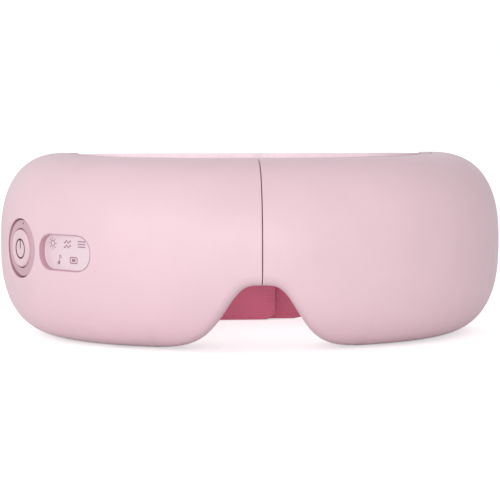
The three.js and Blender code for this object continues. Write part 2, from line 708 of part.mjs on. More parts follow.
const valveSeat = seat(1, VALVE_X);
mask.add(valveSeat);
add('air_valve', cut(block([-4.5, VALVE_DEPTH - 4, 11], [4.5, VALVE_DEPTH + 4, 26]),
  rod('z', 2.4, 17, 30, [0, VALVE_DEPTH], 12)), finish.white, valveSeat);
add('valve_plunger', join(rod('z', 2, 18.6, 28.4, [0, VALVE_DEPTH], 12),
  rod('z', 3.2, 28.2, 29.6, [0, VALVE_DEPTH], 12)), finish.steel, valveSeat);

/** Points of a hose given as plan position, depth and height at each. */
function hoseRoute(side, places) {
  return places.map(([x, depth, z]) => inside(side, planAt(x), depth, z).toArray());
}

const hosePlaces = [[AIR_INLET_X, BACK_FRONT + 1.2, AIR_INLET_Z], [AIR_INLET_X, 24.4, AIR_INLET_Z],
  [28, 22.6, 20], [25, 21.8, 26], [24, 21.5, 31], [20, 20.6, 40], [16, 19.5, 55],
  [12.6, 22.2, 64], [9.7, HOSE_DEPTH, CROSSING_Z]];
[['right', 1], ['left', -1]].forEach(([word, side]) => {
  add(`${word}_air_hose`, hose(hoseRoute(side, hosePlaces), HOSE_RADIUS, 18), finish.rubber);
});

// ---- Strap: inner length on the left, outer length on the right -----------------------------

const PATCH_HALF = STRAP_WIDTH / 2 - 3;
const PATCH_REACH = 9.5;
const SPLIT = 12; // where each arm gives over to its free end
const HOOK_LAYER = STRAP_THICK / 2 + GAP;
const LOOP_LAYER = HOOK_LAYER + PATCH_THICK + GAP;
const OUTER_LAYER = LOOP_LAYER + PATCH_THICK + GAP + STRAP_THICK / 2;
const half = STRAP_WIDTH / 2;

add('strap_left_arm', strapArm(-1, SPLIT + 0.3, 0, STRAP_THICK), finish.strap);
add('strap_right_arm', strapArm(1, SPLIT + 0.3, OUTER_LAYER, STRAP_THICK), finish.strap);
add('strap_left_end', strapLength(-SPLIT, STRAP_LAP, -STRAP_THICK / 2, STRAP_THICK, half, 6),
  finish.strap);
add('strap_right_end', strapLength(-STRAP_TAIL, SPLIT, OUTER_LAYER - STRAP_THICK / 2, STRAP_THICK,
  half, 9), finish.strap);
add('hook_patch', strapLength(-PATCH_REACH, PATCH_REACH, HOOK_LAYER, PATCH_THICK, PATCH_HALF, 4),
  finish.hook);
add('loop_patch', strapLength(-PATCH_REACH, PATCH_REACH, LOOP_LAYER, PATCH_THICK, PATCH_HALF, 4),
  finish.hook);

// ---- The origin: middle of the footprint, on the surface that the mask stands on ------------

const box = new THREE.Box3().setFromObject(mask, true);
mask.position.set(-(box.min.x + box.max.x) / 2, -(box.min.y + box.max.y) / 2, -box.min.z);

export default mask;
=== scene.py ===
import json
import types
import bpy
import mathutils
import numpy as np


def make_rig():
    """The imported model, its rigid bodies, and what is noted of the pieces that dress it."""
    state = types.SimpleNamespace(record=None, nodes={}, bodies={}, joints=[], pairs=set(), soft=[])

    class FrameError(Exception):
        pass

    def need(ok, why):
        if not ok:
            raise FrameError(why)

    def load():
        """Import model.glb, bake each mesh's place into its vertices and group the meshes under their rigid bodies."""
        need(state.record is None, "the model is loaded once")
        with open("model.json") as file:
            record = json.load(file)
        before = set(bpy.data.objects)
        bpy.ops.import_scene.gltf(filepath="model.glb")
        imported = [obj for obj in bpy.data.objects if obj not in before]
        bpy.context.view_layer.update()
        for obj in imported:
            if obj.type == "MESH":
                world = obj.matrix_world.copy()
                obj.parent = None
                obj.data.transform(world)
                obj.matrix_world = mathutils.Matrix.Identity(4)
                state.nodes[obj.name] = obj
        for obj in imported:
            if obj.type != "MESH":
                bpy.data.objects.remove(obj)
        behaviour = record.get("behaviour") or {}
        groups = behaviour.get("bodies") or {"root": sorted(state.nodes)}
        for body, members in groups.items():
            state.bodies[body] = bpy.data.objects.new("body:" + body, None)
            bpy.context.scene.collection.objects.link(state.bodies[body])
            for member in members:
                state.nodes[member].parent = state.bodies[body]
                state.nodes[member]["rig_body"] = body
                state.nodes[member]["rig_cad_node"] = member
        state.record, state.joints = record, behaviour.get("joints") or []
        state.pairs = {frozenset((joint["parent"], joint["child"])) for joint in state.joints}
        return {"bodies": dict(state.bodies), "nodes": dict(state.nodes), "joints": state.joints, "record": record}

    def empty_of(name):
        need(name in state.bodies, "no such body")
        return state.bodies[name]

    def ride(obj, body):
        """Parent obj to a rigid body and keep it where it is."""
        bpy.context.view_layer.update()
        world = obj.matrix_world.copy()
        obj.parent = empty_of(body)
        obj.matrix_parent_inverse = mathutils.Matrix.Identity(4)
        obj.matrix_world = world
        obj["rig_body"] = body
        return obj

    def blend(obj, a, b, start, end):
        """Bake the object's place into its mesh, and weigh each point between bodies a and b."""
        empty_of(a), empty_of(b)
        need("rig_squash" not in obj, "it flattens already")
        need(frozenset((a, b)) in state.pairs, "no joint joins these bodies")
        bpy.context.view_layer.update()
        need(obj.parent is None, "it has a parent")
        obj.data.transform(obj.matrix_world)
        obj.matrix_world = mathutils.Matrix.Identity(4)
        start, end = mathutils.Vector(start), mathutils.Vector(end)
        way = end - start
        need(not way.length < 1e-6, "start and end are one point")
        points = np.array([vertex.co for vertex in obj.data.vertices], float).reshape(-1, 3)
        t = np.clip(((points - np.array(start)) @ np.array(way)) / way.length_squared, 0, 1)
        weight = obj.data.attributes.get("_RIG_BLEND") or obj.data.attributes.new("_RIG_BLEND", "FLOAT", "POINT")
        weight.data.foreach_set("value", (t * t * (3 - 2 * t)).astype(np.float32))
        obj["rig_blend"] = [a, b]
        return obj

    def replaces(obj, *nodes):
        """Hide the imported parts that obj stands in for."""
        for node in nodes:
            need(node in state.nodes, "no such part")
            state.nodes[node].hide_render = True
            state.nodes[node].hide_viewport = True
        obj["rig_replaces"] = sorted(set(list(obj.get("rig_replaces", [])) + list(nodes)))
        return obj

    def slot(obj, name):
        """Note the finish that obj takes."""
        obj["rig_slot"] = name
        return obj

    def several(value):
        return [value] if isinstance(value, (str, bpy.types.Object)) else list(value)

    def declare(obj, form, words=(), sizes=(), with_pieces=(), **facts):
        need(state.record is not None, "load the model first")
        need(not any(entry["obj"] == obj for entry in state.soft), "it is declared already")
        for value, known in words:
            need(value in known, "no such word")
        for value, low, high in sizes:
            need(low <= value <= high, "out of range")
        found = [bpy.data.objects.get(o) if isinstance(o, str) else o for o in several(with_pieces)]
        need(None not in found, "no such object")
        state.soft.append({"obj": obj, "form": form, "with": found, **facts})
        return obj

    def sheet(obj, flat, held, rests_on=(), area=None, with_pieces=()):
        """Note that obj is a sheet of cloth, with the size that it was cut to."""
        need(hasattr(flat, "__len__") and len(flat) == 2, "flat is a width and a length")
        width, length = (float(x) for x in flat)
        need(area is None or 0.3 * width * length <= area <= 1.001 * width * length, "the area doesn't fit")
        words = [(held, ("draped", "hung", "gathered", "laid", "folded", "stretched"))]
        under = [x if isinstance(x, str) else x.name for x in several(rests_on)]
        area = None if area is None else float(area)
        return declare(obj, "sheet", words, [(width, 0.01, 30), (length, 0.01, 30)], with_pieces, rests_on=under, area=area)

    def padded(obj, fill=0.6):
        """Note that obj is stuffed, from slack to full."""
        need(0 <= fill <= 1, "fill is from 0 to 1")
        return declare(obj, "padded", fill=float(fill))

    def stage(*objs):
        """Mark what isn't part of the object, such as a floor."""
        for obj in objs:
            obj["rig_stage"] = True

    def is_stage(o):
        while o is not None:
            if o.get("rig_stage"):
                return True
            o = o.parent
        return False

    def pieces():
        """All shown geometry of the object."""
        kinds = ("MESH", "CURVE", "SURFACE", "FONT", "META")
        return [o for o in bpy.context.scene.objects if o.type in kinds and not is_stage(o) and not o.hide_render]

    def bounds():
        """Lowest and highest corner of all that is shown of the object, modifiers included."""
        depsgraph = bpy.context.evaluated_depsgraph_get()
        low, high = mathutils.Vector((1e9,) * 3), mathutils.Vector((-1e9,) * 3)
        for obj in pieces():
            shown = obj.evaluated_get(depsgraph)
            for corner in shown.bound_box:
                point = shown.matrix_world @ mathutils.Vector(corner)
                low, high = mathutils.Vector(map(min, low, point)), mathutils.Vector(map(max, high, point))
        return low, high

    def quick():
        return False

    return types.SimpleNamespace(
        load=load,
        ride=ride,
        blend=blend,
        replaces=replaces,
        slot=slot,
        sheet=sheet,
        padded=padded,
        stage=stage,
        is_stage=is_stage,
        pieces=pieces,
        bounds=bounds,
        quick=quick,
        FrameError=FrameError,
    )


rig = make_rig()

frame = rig.load()

import json
import math

import bmesh
import bpy
import numpy as np
from mathutils import Vector

# Eye massager mask: the visible surfaces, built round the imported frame. Lengths are in millimetres
# measured from the foremost point of the mask; row() turns them into the frame's metres.

CAD_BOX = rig.bounds()
MM = 0.001

# ---- Dimensions, as in the CAD source, but for the slit, which is finer here ----

HALF_WIDTH = 100
PLAN_DEPTH = 80.1
PLAN_POWER = 2.28
MID = 35.7
CROWN_DEPTH = 26.8
CROWN_POWER = 2.55
TEMPLE_END = 87.1
TEMPLE_ROUNDING = 8
WALL = 2.2
SLIT = 0.32
NOTCH_HEIGHT = 25.9
NOTCH_FOOT = 1
NOTCH_HALF_WIDTH = 15.65
NOTCH_POWER = 3.55
BACK_FRONT = 27.1
BACK_REAR = 31.1
PIN_X = 4.4
PIN_Y = 27.0
LINER_FRONT = 31.4
LINER_TOP = 73.3
LINER_FALL = 0.031
LINER_EYE = 9.6
LINER_TEMPLE = 4.2
BUTTON_X = 91
CONTROL_Z = 36.7
BUTTON_RADIUS = 7.2
DISH_RADIUS = 11.4
WINDOW_X = 73.8
WINDOW_HALF = (12.6, 6.8, 6.2)
STRAP_WIDTH = 40
STRAP_THICK = 1.4
STRAP_X = 80
STRAP_BACK = 104
STRAP_DROP = 14.6
STRAP_POWER = 2.4
SLOT_Y = 87.7


def row(points):
    """Design millimetres to the frame's metres."""
    p = np.array(points, float) * MM
    p[..., 1] += CAD_BOX[0].y
    return p


def place(x, y, z):
    return Vector(row([x, y, z]))


def aim_at(obj, where, aim):
    """Puts a camera or a lamp at one place, looking at another."""
    obj.location = where
    obj.rotation_euler = (Vector(aim) - Vector(where)).to_track_quat("-Z", "Y").to_euler()


def side_word(side):
    return "left" if side < 0 else "right"


# ---- Camera ----

CAMERA_PLACE = (-47.6, -720.2, 109.7)
CAMERA_AIM = (0, 40.8, 35.7)
CAMERA_LENS = 143
CAMERA_SHIFT = (-0.0115, -0.0011)

cam_data = bpy.data.cameras.new("camera")
camera = bpy.data.objects.new("camera", cam_data)
bpy.context.scene.collection.objects.link(camera)
bpy.context.scene.camera = camera
aim_at(camera, place(*CAMERA_PLACE), place(*CAMERA_AIM))
cam_data.sensor_width = 36
cam_data.lens = CAMERA_LENS
cam_data.shift_x, cam_data.shift_y = CAMERA_SHIFT
cam_data.clip_start = 0.05
cam_data.clip_end = 20

# ---- Materials ----


def srgb(r, g, b):
    """An sRGB colour, 0 to 255, as linear RGBA."""
    return tuple(
        (c / 12.92 if c <= 0.04045 else ((c + 0.055) / 1.055) ** 2.4)
        for c in (r / 255, g / 255, b / 255)
    ) + (1.0,)


class Nodes:
    """A material's node tree with short names for what most of the materials use."""

    def __init__(self, name):
        self.material = bpy.data.materials.new(name)
        self.material.use_nodes = True
        self.tree = self.material.node_tree
        self.shader = self.tree.nodes["Principled BSDF"]
        self.coord = self.tree.nodes.new("ShaderNodeTexCoord")

    def add(self, kind, **values):
        node = self.tree.nodes.new(kind)
        for key, value in values.items():
            if key in node.inputs:
                node.inputs[key].default_value = value
            else:
                setattr(node, key, value)
        return node

    def link(self, a, b):
        self.tree.links.new(a, b)

    def noise(self, scale, detail=3.0, rough=0.5, source="Object", stretch=None):
        node = self.add("ShaderNodeTexNoise", Scale=scale, Detail=detail, Roughness=rough)
        start = self.coord.outputs[source]
        if stretch:
            mapping = self.add("ShaderNodeMapping")
            mapping.inputs["Scale"].default_value = stretch
            self.link(start, mapping.inputs["Vector"])
            start = mapping.outputs["Vector"]
        self.link(start, node.inputs["Vector"])
        return node.outputs["Fac"]

    def span(self, source, low, high, start=0.3, stop=0.7):
        """Maps a texture value to a range of numbers."""
        node = self.add("ShaderNodeMapRange")
        node.inputs["From Min"].default_value = start
        node.inputs["From Max"].default_value = stop
        node.inputs["To Min"].default_value = low
        node.inputs["To Max"].default_value = high
        self.link(source, node.inputs["Value"])
        return node.outputs["Result"]

    def mix(self, factor, a, b):
        node = self.add("ShaderNodeMix", data_type="RGBA")
        self.link(factor, node.inputs[0])
        for socket, value in ((node.inputs[6], a), (node.inputs[7], b)):
            if isinstance(value, tuple):
                socket.default_value = value
            else:
                self.link(value, socket)
        return node.outputs[2]

    def mottle(self, source, colour, low, high):
        """The colour, varied between two shares of itself by a texture value."""
        return self.mix(self.span(source, 0, 1), shade(colour, low), shade(colour, high))

    def cells(self, scale, feature="F1"):
        node = self.add("ShaderNodeTexVoronoi", Scale=scale, feature=feature)
        self.link(self.coord.outputs["Object"], node.inputs["Vector"])
        return node.outputs["Distance"]

    def math(self, operation, a, b=0.0):
        node = self.add("ShaderNodeMath", operation=operation)
        for socket, value in ((node.inputs[0], a), (node.inputs[1], b)):
            if isinstance(value, (int, float)):
                socket.default_value = value
            else:
                self.link(value, socket)
        return node.outputs[0]

    def bump(self, height, strength, distance, after=None):
        node = self.add("ShaderNodeBump", Strength=strength, Distance=distance)
        self.link(height, node.inputs["Height"])
        if after is not None:
            self.link(after, node.inputs["Normal"])
        return node.outputs["Normal"]

    def finish(self, colour=None, roughness=None, normal=None, **values):
        sockets = {"Base Color": colour, "Roughness": roughness, "Normal": normal}
        for name, source in sockets.items():
            if isinstance(source, (int, float, tuple)):
                self.shader.inputs[name].default_value = source
            elif source is not None:
                self.link(source, self.shader.inputs[name])
        for name, value in values.items():
            self.shader.inputs[name.replace("_", " ")].default_value = value
        return self.material


def shade(colour, share):
    return tuple(c * share for c in colour[:3]) + (1.0,)


def satin_plastic(name, colour, rough=(0.36, 0.46), grain=0.12, coat=0.15):
    """Moulded plastic with a soft-touch lacquer: faint mottling, a fine spark-eroded grain."""
    n = Nodes(name)
    tone = n.mottle(n.noise(38, 3), colour, 0.975, 1.02)
    fleck = n.noise(2600, 2)
    tone = n.mix(n.span(fleck, 0, 0.5, 0.45, 0.7), tone, shade(colour, 0.95))
    gloss = n.span(n.noise(160, 4), rough[0], rough[1])
    normal = n.bump(n.noise(5200, 2), grain, 0.00006)
    normal = n.bump(n.noise(420, 2), grain * 0.5, 0.0001, normal)
    return n.finish(tone, gloss, normal, Coat_Weight=coat, Coat_Roughness=0.28,
                    Specular_IOR_Level=0.45, Sheen_Weight=0.08, Sheen_Roughness=0.4)


def soft_leather(name, colour):
    """Thin coated leather over foam: pebble grain, a few fine creases and soft mottling."""
    n = Nodes(name)
    pebble = n.cells(950.0, "SMOOTH_F1")
    crease = n.noise(260, 5, 0.6, stretch=(1, 1, 0.35))
    tone = n.mottle(n.noise(60, 3), colour, 0.96, 1.02)
    # Darker, down to 0.86, towards the edges of the pebbles where the bump sinks: painted shade in the grain's
    # valleys.
    tone = n.mix(n.span(pebble, 0, 0.35, 0.35, 0.8), tone, shade(colour, 0.86))
    normal = n.bump(pebble, 0.35, -0.00012)
    normal = n.bump(crease, 0.18, 0.0003, normal)
    return n.finish(tone, n.span(n.noise(700, 2), 0.48, 0.66), normal, Sheen_Weight=0.25,
                    Sheen_Roughness=0.45, Specular_IOR_Level=0.4)


def woven_elastic(name, colour):
    """Knitted elastic: lengthwise ribs crossed by fine picks; U runs along it, V across, in mm."""
    n = Nodes(name)
    split = n.add("ShaderNodeSeparateXYZ")
    n.link(n.coord.outputs["UV"], split.inputs[0])
    along, across = split.outputs[0], split.outputs[1]
    wobble = n.span(n.noise(0.6, 2, source="UV"), -0.25, 0.25)
    rib = n.math("SINE", n.math("MULTIPLY", n.math("ADD", across, wobble), 2 * math.pi / 0.9))
    offset = n.math("MULTIPLY", rib, 0.9)
    pick = n.math("SINE", n.math("ADD", n.math("MULTIPLY", along, 2 * math.pi / 0.62), offset))
    height = n.math("ADD", n.math("MULTIPLY", rib, 0.5), n.math("MULTIPLY", pick, 0.45))
    fibre = n.noise(9, 4, 0.7, source="UV", stretch=(0.4, 2.2, 1))
    height = n.math("ADD", height, n.math("MULTIPLY", fibre, 0.8))
    # The colour runs from 0.8 in the grooves to 1.06 on the ribs, by the same height as the bump: painted shade in the
    # grooves between ribs and picks, with random fibre tone mixed in.
    tone = n.mix(n.span(height, 0, 1, -0.6, 1.2), shade(colour, 0.8), shade(colour, 1.06))
    tone = n.mix(n.span(n.noise(0.09, 3, source="UV"), 0, 0.5), tone, shade(colour, 1.12))
    normal = n.bump(height, 0.35, 0.00012)
    return n.finish(tone, n.span(fibre, 0.72, 0.92), normal, Sheen_Weight=0.3,
                    Sheen_Roughness=0.5, Specular_IOR_Level=0.25)


def hook_tape(name, colour):
    n = Nodes(name)
    loops = n.noise(2600, 5, 0.75)
    tone = n.mottle(loops, colour, 0.7, 1.15)
    normal = n.bump(loops, 0.8, 0.0003, n.bump(n.cells(1500.0), 0.6, 0.0003))
    return n.finish(tone, 0.95, normal, Sheen_Weight=0.5, Specular_IOR_Level=0.2)


def brushed_metal(name, colour, rough=(0.24, 0.42)):
    n = Nodes(name)
    lines = n.noise(900, 4, 0.6, stretch=(1, 1, 14))
    tone = n.mottle(lines, colour, 0.86, 1.05)
    tone = n.mix(n.span(n.noise(300, 3), 0, 0.4, 0.55, 0.75), tone, shade(colour, 0.7))
    normal = n.bump(lines, 0.12, 0.00005)
    return n.finish(tone, n.span(lines, rough[0], rough[1]), normal, Metallic=1.0)


def dull_plastic(name, colour, rough=(0.5, 0.7), grain=0.25):
    n = Nodes(name)
    tone = n.mottle(n.noise(240, 4), colour, 0.88, 1.08)
    normal = n.bump(n.noise(3000, 3), grain, 0.0001)
    return n.finish(tone, n.span(n.noise(700, 3), rough[0], rough[1]), normal)


def circuit_board(name):
    """Green solder mask over copper tracks, with tinned pads."""
    n = Nodes(name)
    tracks = n.add("ShaderNodeTexBrick", Scale=420.0)
    tracks.inputs["Mortar Size"].default_value = 0.08
    tracks.inputs["Color1"].default_value = (0, 0, 0, 1)
    tracks.inputs["Color2"].default_value = (0.15, 0.15, 0.15, 1)
    tracks.inputs["Mortar"].default_value = (1, 1, 1, 1)
    n.link(n.coord.outputs["Object"], tracks.inputs["Vector"])
    tone = n.mix(tracks.outputs["Color"], srgb(24, 92, 58), srgb(58, 140, 84))
    dots = n.span(n.cells(380.0), 1, 0, 0.12, 0.16)
    tone = n.mix(dots, tone, srgb(205, 205, 198))
    normal = n.bump(tracks.outputs["Color"], 0.3, 0.00008)
    return n.finish(tone, n.span(n.noise(500, 2), 0.28, 0.42), normal)


def printed_mark(name, colour):
    n = Nodes(name)
    ink = n.noise(4200, 3)
    tone = n.mottle(ink, colour, 0.85, 1.15)
    return n.finish(tone, n.span(ink, 0.5, 0.65), n.bump(ink, 0.2, 0.00003))


def turned_plastic(name, colour, centre):
    """Satin plastic with the faint concentric rings of a turned mould insert."""
    n = Nodes(name)
    offset = n.add("ShaderNodeVectorMath", operation="SUBTRACT")
    n.link(n.coord.outputs["Object"], offset.inputs[0])
    offset.inputs[1].default_value = centre
    size = n.add("ShaderNodeVectorMath", operation="LENGTH")
    n.link(offset.outputs["Vector"], size.inputs[0])
    ring = n.math("SINE", n.math("MULTIPLY", size.outputs["Value"], 2 * math.pi / 0.00026))
    tone = n.mottle(n.noise(90, 3), colour, 0.97, 1.02)
    normal = n.bump(ring, 0.06, 0.00003)
    normal = n.bump(n.noise(5200, 2), 0.1, 0.00005, normal)
    return n.finish(tone, n.span(n.noise(200, 3), 0.3, 0.38), normal, Coat_Weight=0.2,
                    Coat_Roughness=0.22)


PINK = srgb(236, 204, 213)
looks = {
    "shell": satin_plastic("shell_satin", PINK),
    # The recess look is a darker copy of the shell's satin, laid on the walls down into the window and dish recesses:
    # painted shade.
    "recess": satin_plastic("recess_painted_shade", srgb(198, 157, 171), (0.4, 0.5)),
    "rear_shell": satin_plastic("rear_shell_satin", srgb(232, 200, 209), (0.44, 0.55), 0.2, 0.05),
    "button": satin_plastic("button_satin", srgb(236, 203, 212), (0.3, 0.38), 0.08, 0.2),
    "window": satin_plastic("window_lens", srgb(236, 213, 221), (0.2, 0.3), 0.05, 0.3),
    "cushion": soft_leather("cushion_leather", srgb(252, 236, 242)),
    "strap": woven_elastic("strap_elastic", srgb(232, 126, 153)),
    "hook_and_loop": hook_tape("hook_tape", srgb(140, 66, 86)),
    "steel": brushed_metal("steel_brushed", srgb(196, 198, 202)),
    "brass": brushed_metal("brass_brushed", srgb(198, 168, 104)),
    "silicone": dull_plastic("silicone", srgb(222, 219, 214), (0.4, 0.55), 0.1),
    "film": brushed_metal("heating_film", srgb(206, 142, 70), (0.3, 0.45)),
    "black_plastic": dull_plastic("black_plastic", srgb(38, 39, 43)),
    "white_plastic": dull_plastic("white_plastic", srgb(233, 233, 230), (0.35, 0.5), 0.1),
    "circuit_board": circuit_board("circuit_board"),
    "battery_foil": brushed_metal("battery_foil", srgb(170, 182, 198), (0.35, 0.5)),
    "print": printed_mark("printed_marks", srgb(160, 116, 132)),
    "power_print": printed_mark("power_mark", srgb(80, 40, 52)),
    "thread": dull_plastic("stitch_thread", srgb(240, 140, 164), (0.7, 0.85), 0.4),
}

# ---- Mesh helpers ----

BEVEL_ANGLE = 50


class Skin:
    """Collects grids of points and the quads between them."""

    def __init__(self):
        self.points = []
        self.faces = []
        self.count = 0
        # Face ranges that take the painted shade of a recess wall.
        self.painted_shade_faces = []

    def add(self, grid):
        """Adds an array of points, any shape x 3, and returns the array of their indices."""
        grid = np.asarray(grid, float)
        shape = grid.shape[:-1]
        self.points.append(grid.reshape(-1, 3))
        size = int(np.prod(shape))
        index = np.arange(self.count, self.count + size).reshape(shape)
        self.count += size
        return index

    def quads(self, index, wrap=False, skip=()):
        """Quads over a two-way array of indices, without those in the (i0, i1, j0, j1) boxes."""
        columns, rows = index.shape
        last = columns if wrap else columns - 1
        for i in range(last):
            k = (i + 1) % columns
            for j in range(rows - 1):
                if any(a <= i < b and c <= j < d for a, b, c, d in skip):
                    continue
                self.faces.append((index[i, j], index[k, j], index[k, j + 1], index[i, j + 1]))

    def strip(self, first, second):
        self.quads(np.array([first, second]).T)

    def fan(self, ring):
        self.faces.append(tuple(int(i) for i in ring))

    def tube(self, rings):
        """A closed form through successive closed rings, with a flat face at each end."""
        index = self.add(np.array(rings))
        self.quads(index.T, wrap=True)
        self.fan(index[0])
        self.fan(index[-1][::-1])

    def build(self, name, look, body=None, side=1, weld=0.004, sharp=38, cad=(), slot=None):
        points = np.vstack(self.points).copy()
        points[:, 0] *= side
        mesh = bpy.data.meshes.new(name)
        mesh.from_pydata(row(points).tolist(), [], [tuple(map(int, f)) for f in self.faces])
        obj = bpy.data.objects.new(name, mesh)
        bpy.context.scene.collection.objects.link(obj)
        # Faces noted for painted shade take slot 1, the darker recess satin, down the recess walls.
        for start, stop in self.painted_shade_faces:
            for face in mesh.polygons[start:stop]:
                face.material_index = 1
        clean(obj, weld, sharp)
        mesh.materials.append(looks[look])
        if self.painted_shade_faces:
            mesh.materials.append(looks["recess"])
        if cad:
            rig.replaces(obj, *cad)
        if slot:
            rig.slot(obj, slot)
        if body:
            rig.ride(obj, body)
        return obj


def clean(obj, weld=0.004, sharp=38):
    """Welds doubled points, drops empty faces, points the faces out and marks sharp edges."""
    bm = bmesh.new()
    bm.from_mesh(obj.data)
    bmesh.ops.remove_doubles(bm, verts=bm.verts, dist=weld * MM)
    bmesh.ops.dissolve_degenerate(bm, edges=bm.edges, dist=weld * MM * 0.5)
    loose = [v for v in bm.verts if not v.link_faces]
    bmesh.ops.delete(bm, geom=loose, context="VERTS")
    bmesh.ops.recalc_face_normals(bm, faces=bm.faces)
    if bm.calc_volume(signed=True) < 0:
        bmesh.ops.reverse_faces(bm, faces=bm.faces)
    for face in bm.faces:
        face.smooth = True
    limit = math.radians(sharp)
    for edge in bm.edges:
        edge.smooth = not (edge.is_manifold and edge.calc_face_angle(0) > limit)
    bm.to_mesh(obj.data)
    bm.free()
    obj.data.update()


def apply_modifiers(obj):
    """Bakes the modifiers of a new piece into its mesh."""
    graph = bpy.context.evaluated_depsgraph_get()
    mesh = bpy.data.meshes.new_from_object(obj.evaluated_get(graph))
    obj.modifiers.clear()
    obj.data = mesh
    return obj


def bevel_edges(obj, width):
    modifier = obj.modifiers.new("edges", "BEVEL")
    modifier.width = width * MM
    modifier.segments = 2
    modifier.limit_method = "ANGLE"
    modifier.angle_limit = math.radians(BEVEL_ANGLE)


def carve(obj, cutters, bevel):
    """Cuts closed shapes out of a piece and rounds what is left sharp."""
    for cutter in cutters:
        modifier = obj.modifiers.new("cut", "BOOLEAN")
        modifier.object = cutter
        modifier.operation = "DIFFERENCE"
        modifier.solver = "EXACT"
    apply_modifiers(obj)
    for cutter in cutters:
        bpy.data.objects.remove(cutter)
    bevel_edges(obj, bevel)
    apply_modifiers(obj)
    clean(obj)


def prism_cutter(ends):
    """A closed prism between two equal outlines, to cut with."""
    skin = Skin()
    index = skin.add(np.array(ends).transpose(1, 0, 2))
    skin.quads(index, wrap=True)
    skin.fan(index[:, 0])
    skin.fan(index[::-1, 1])
    return skin.build("cutter", "shell", weld=0.0001)


def slot_cutter(centre, axis, up, length, height, depth):
    """A rounded slot as a closed prism: length along up, height across, depth along axis."""
    axis, up = Vector(axis).normalized(), Vector(up).normalized()
    across = axis.cross(up)
    radius = height / 2
    ring = []
    for i in range(24):
        angle = 2 * math.pi * i / 24
        shift = (length / 2 - radius) * (1 if math.cos(angle) >= 0 else -1)
        ring.append((shift + radius * math.cos(angle), radius * math.sin(angle)))
    return prism_cutter([[list(Vector(centre) + up * a + across * b + axis * d) for a, b in ring]
                         for d in (-depth / 2, depth / 2)])


# ---- The curved plan ----


def signed_power(value, power):
    return np.sign(value) * np.abs(value) ** power


PLAN_SAMPLES = 6001
REAR_SAMPLES = 5200  # how far along the plan rear_y() looks

angle_table = np.linspace(0, math.pi / 2, PLAN_SAMPLES)
share_table = np.sin(angle_table) ** (2 / PLAN_POWER)
rest_table = np.cos(angle_table) ** (2 / PLAN_POWER)
rest_table[-1] = 0
plan_x = np.append(HALF_WIDTH * share_table, HALF_WIDTH)
plan_y = np.append(PLAN_DEPTH * (1 - rest_table), TEMPLE_END)
plan_turn = np.append(np.arctan2(share_table ** (PLAN_POWER - 1) / HALF_WIDTH,
                                 rest_table ** (PLAN_POWER - 1) / PLAN_DEPTH), math.pi / 2)
plan_arc = np.append(0, np.cumsum(np.hypot(np.diff(plan_x), np.diff(plan_y))))
ARC_END = plan_arc[-1]


def station(s):
    """Plan x, y and turn of the inward normal at a distance s along the plan."""
    return (np.interp(s, plan_arc, plan_x), np.interp(s, plan_arc, plan_y),
            np.interp(s, plan_arc, plan_turn))


def arc_of(x):
    return float(np.interp(x, plan_x[:PLAN_SAMPLES], plan_arc[:PLAN_SAMPLES]))


def inside(s, depth, z):
    """The point at a depth and height at a distance along the plan, on the +X side."""
    x, y, turn = station(s)
    depth, z = np.broadcast_arrays(np.asarray(depth, float), np.asarray(z, float))
    return np.stack(np.broadcast_arrays(x - depth * np.sin(turn), y + depth * np.cos(turn), z),
                    axis=-1)


def end_inset(y, rounding=TEMPLE_ROUNDING, end=TEMPLE_END):
    missing = np.clip(rounding - (end - y), 0, rounding)
    return rounding - np.sqrt(rounding ** 2 - missing ** 2)


def rear_y(x, depth):
    """Y of the surface at a depth, at a true X."""
    table_x = plan_x - depth * np.sin(plan_turn)
    table_y = plan_y + depth * np.cos(plan_turn)
    return np.interp(x, table_x[:REAR_SAMPLES], table_y[:REAR_SAMPLES])


def notch_z(x, margin=0.0):
    ratio = (np.abs(x) / NOTCH_HALF_WIDTH) ** NOTCH_POWER
    bell = (NOTCH_HEIGHT + NOTCH_FOOT) / (1 + ratio)
    slope = bell * NOTCH_POWER * ratio / ((1 + ratio) * np.maximum(np.abs(x), 1e-6))
    return bell - NOTCH_FOOT + margin * np.sqrt(1 + slope ** 2)


sigma = np.linspace(math.pi / 2, -math.pi / 2, 4001)
section_h = signed_power(np.sin(sigma), 2 / CROWN_POWER)
section_d = np.abs(np.cos(sigma)) ** (2 / CROWN_POWER)
section_d[[0, -1]] = 0
section_arc = np.append(0, np.cumsum(np.hypot(np.diff(CROWN_DEPTH * section_d),
                                              np.diff(MID * section_h))))
SECTION_LENGTH = section_arc[-1]
section_arc = section_arc / SECTION_LENGTH


def crown_depth(z, wall=0.0):
    h = np.clip(np.abs(z - MID) / (MID - wall), 0, 1)
    return CROWN_DEPTH - (CROWN_DEPTH - wall) * (1 - h ** CROWN_POWER) ** (1 / CROWN_POWER)


# ---- Front shells ----

BUTTON_ARC = arc_of(BUTTON_X)
WINDOW_ARC = arc_of(WINDOW_X)
GAP_ARC = ((WINDOW_ARC + WINDOW_HALF[0]) + (BUTTON_ARC - DISH_RADIUS)) / 2
PATCH_MARGIN = 2.2
NOTCH_EDGE = 4.3
SLIT_EDGE = 0.32
NOTCH_REACH = 44
FINE_STOP = 44
CUP_DEPTH = 5.6
DISH_FLOOR = 4.4
STEM_RADIUS = 7.6
FRAME_DEPTH = 5.4
WINDOW_FLOOR = 3.9
DEPTH_STEPS = np.array([0, 0.02, 0.06, 0.14, 0.28, 0.5, 0.75, 1])
HINGE_POCKET = ((-9.6, 22.5, 33.6), (9.6, 44, 64.4))
HOSE_ROOM = ((-6.5, 22.5, 64.9), (6.5, 29.7, 68.8))
STRAP_SLOT = (42.4, 3, 8)
PORT_X = 60
PORT_DEPTH = 20.4
PORT_SLOT = (9.4, 3.6, 8)
# From this ring down a recess's wall, the faces take the darker recess satin as painted shade.
PAINTED_SHADE_FROM = 7  # the first ring down a recess's wall


def spaced(start, stop, step):
    count = max(1, int(round(abs(stop - start) / step)))
    return np.linspace(start, stop, count + 1)


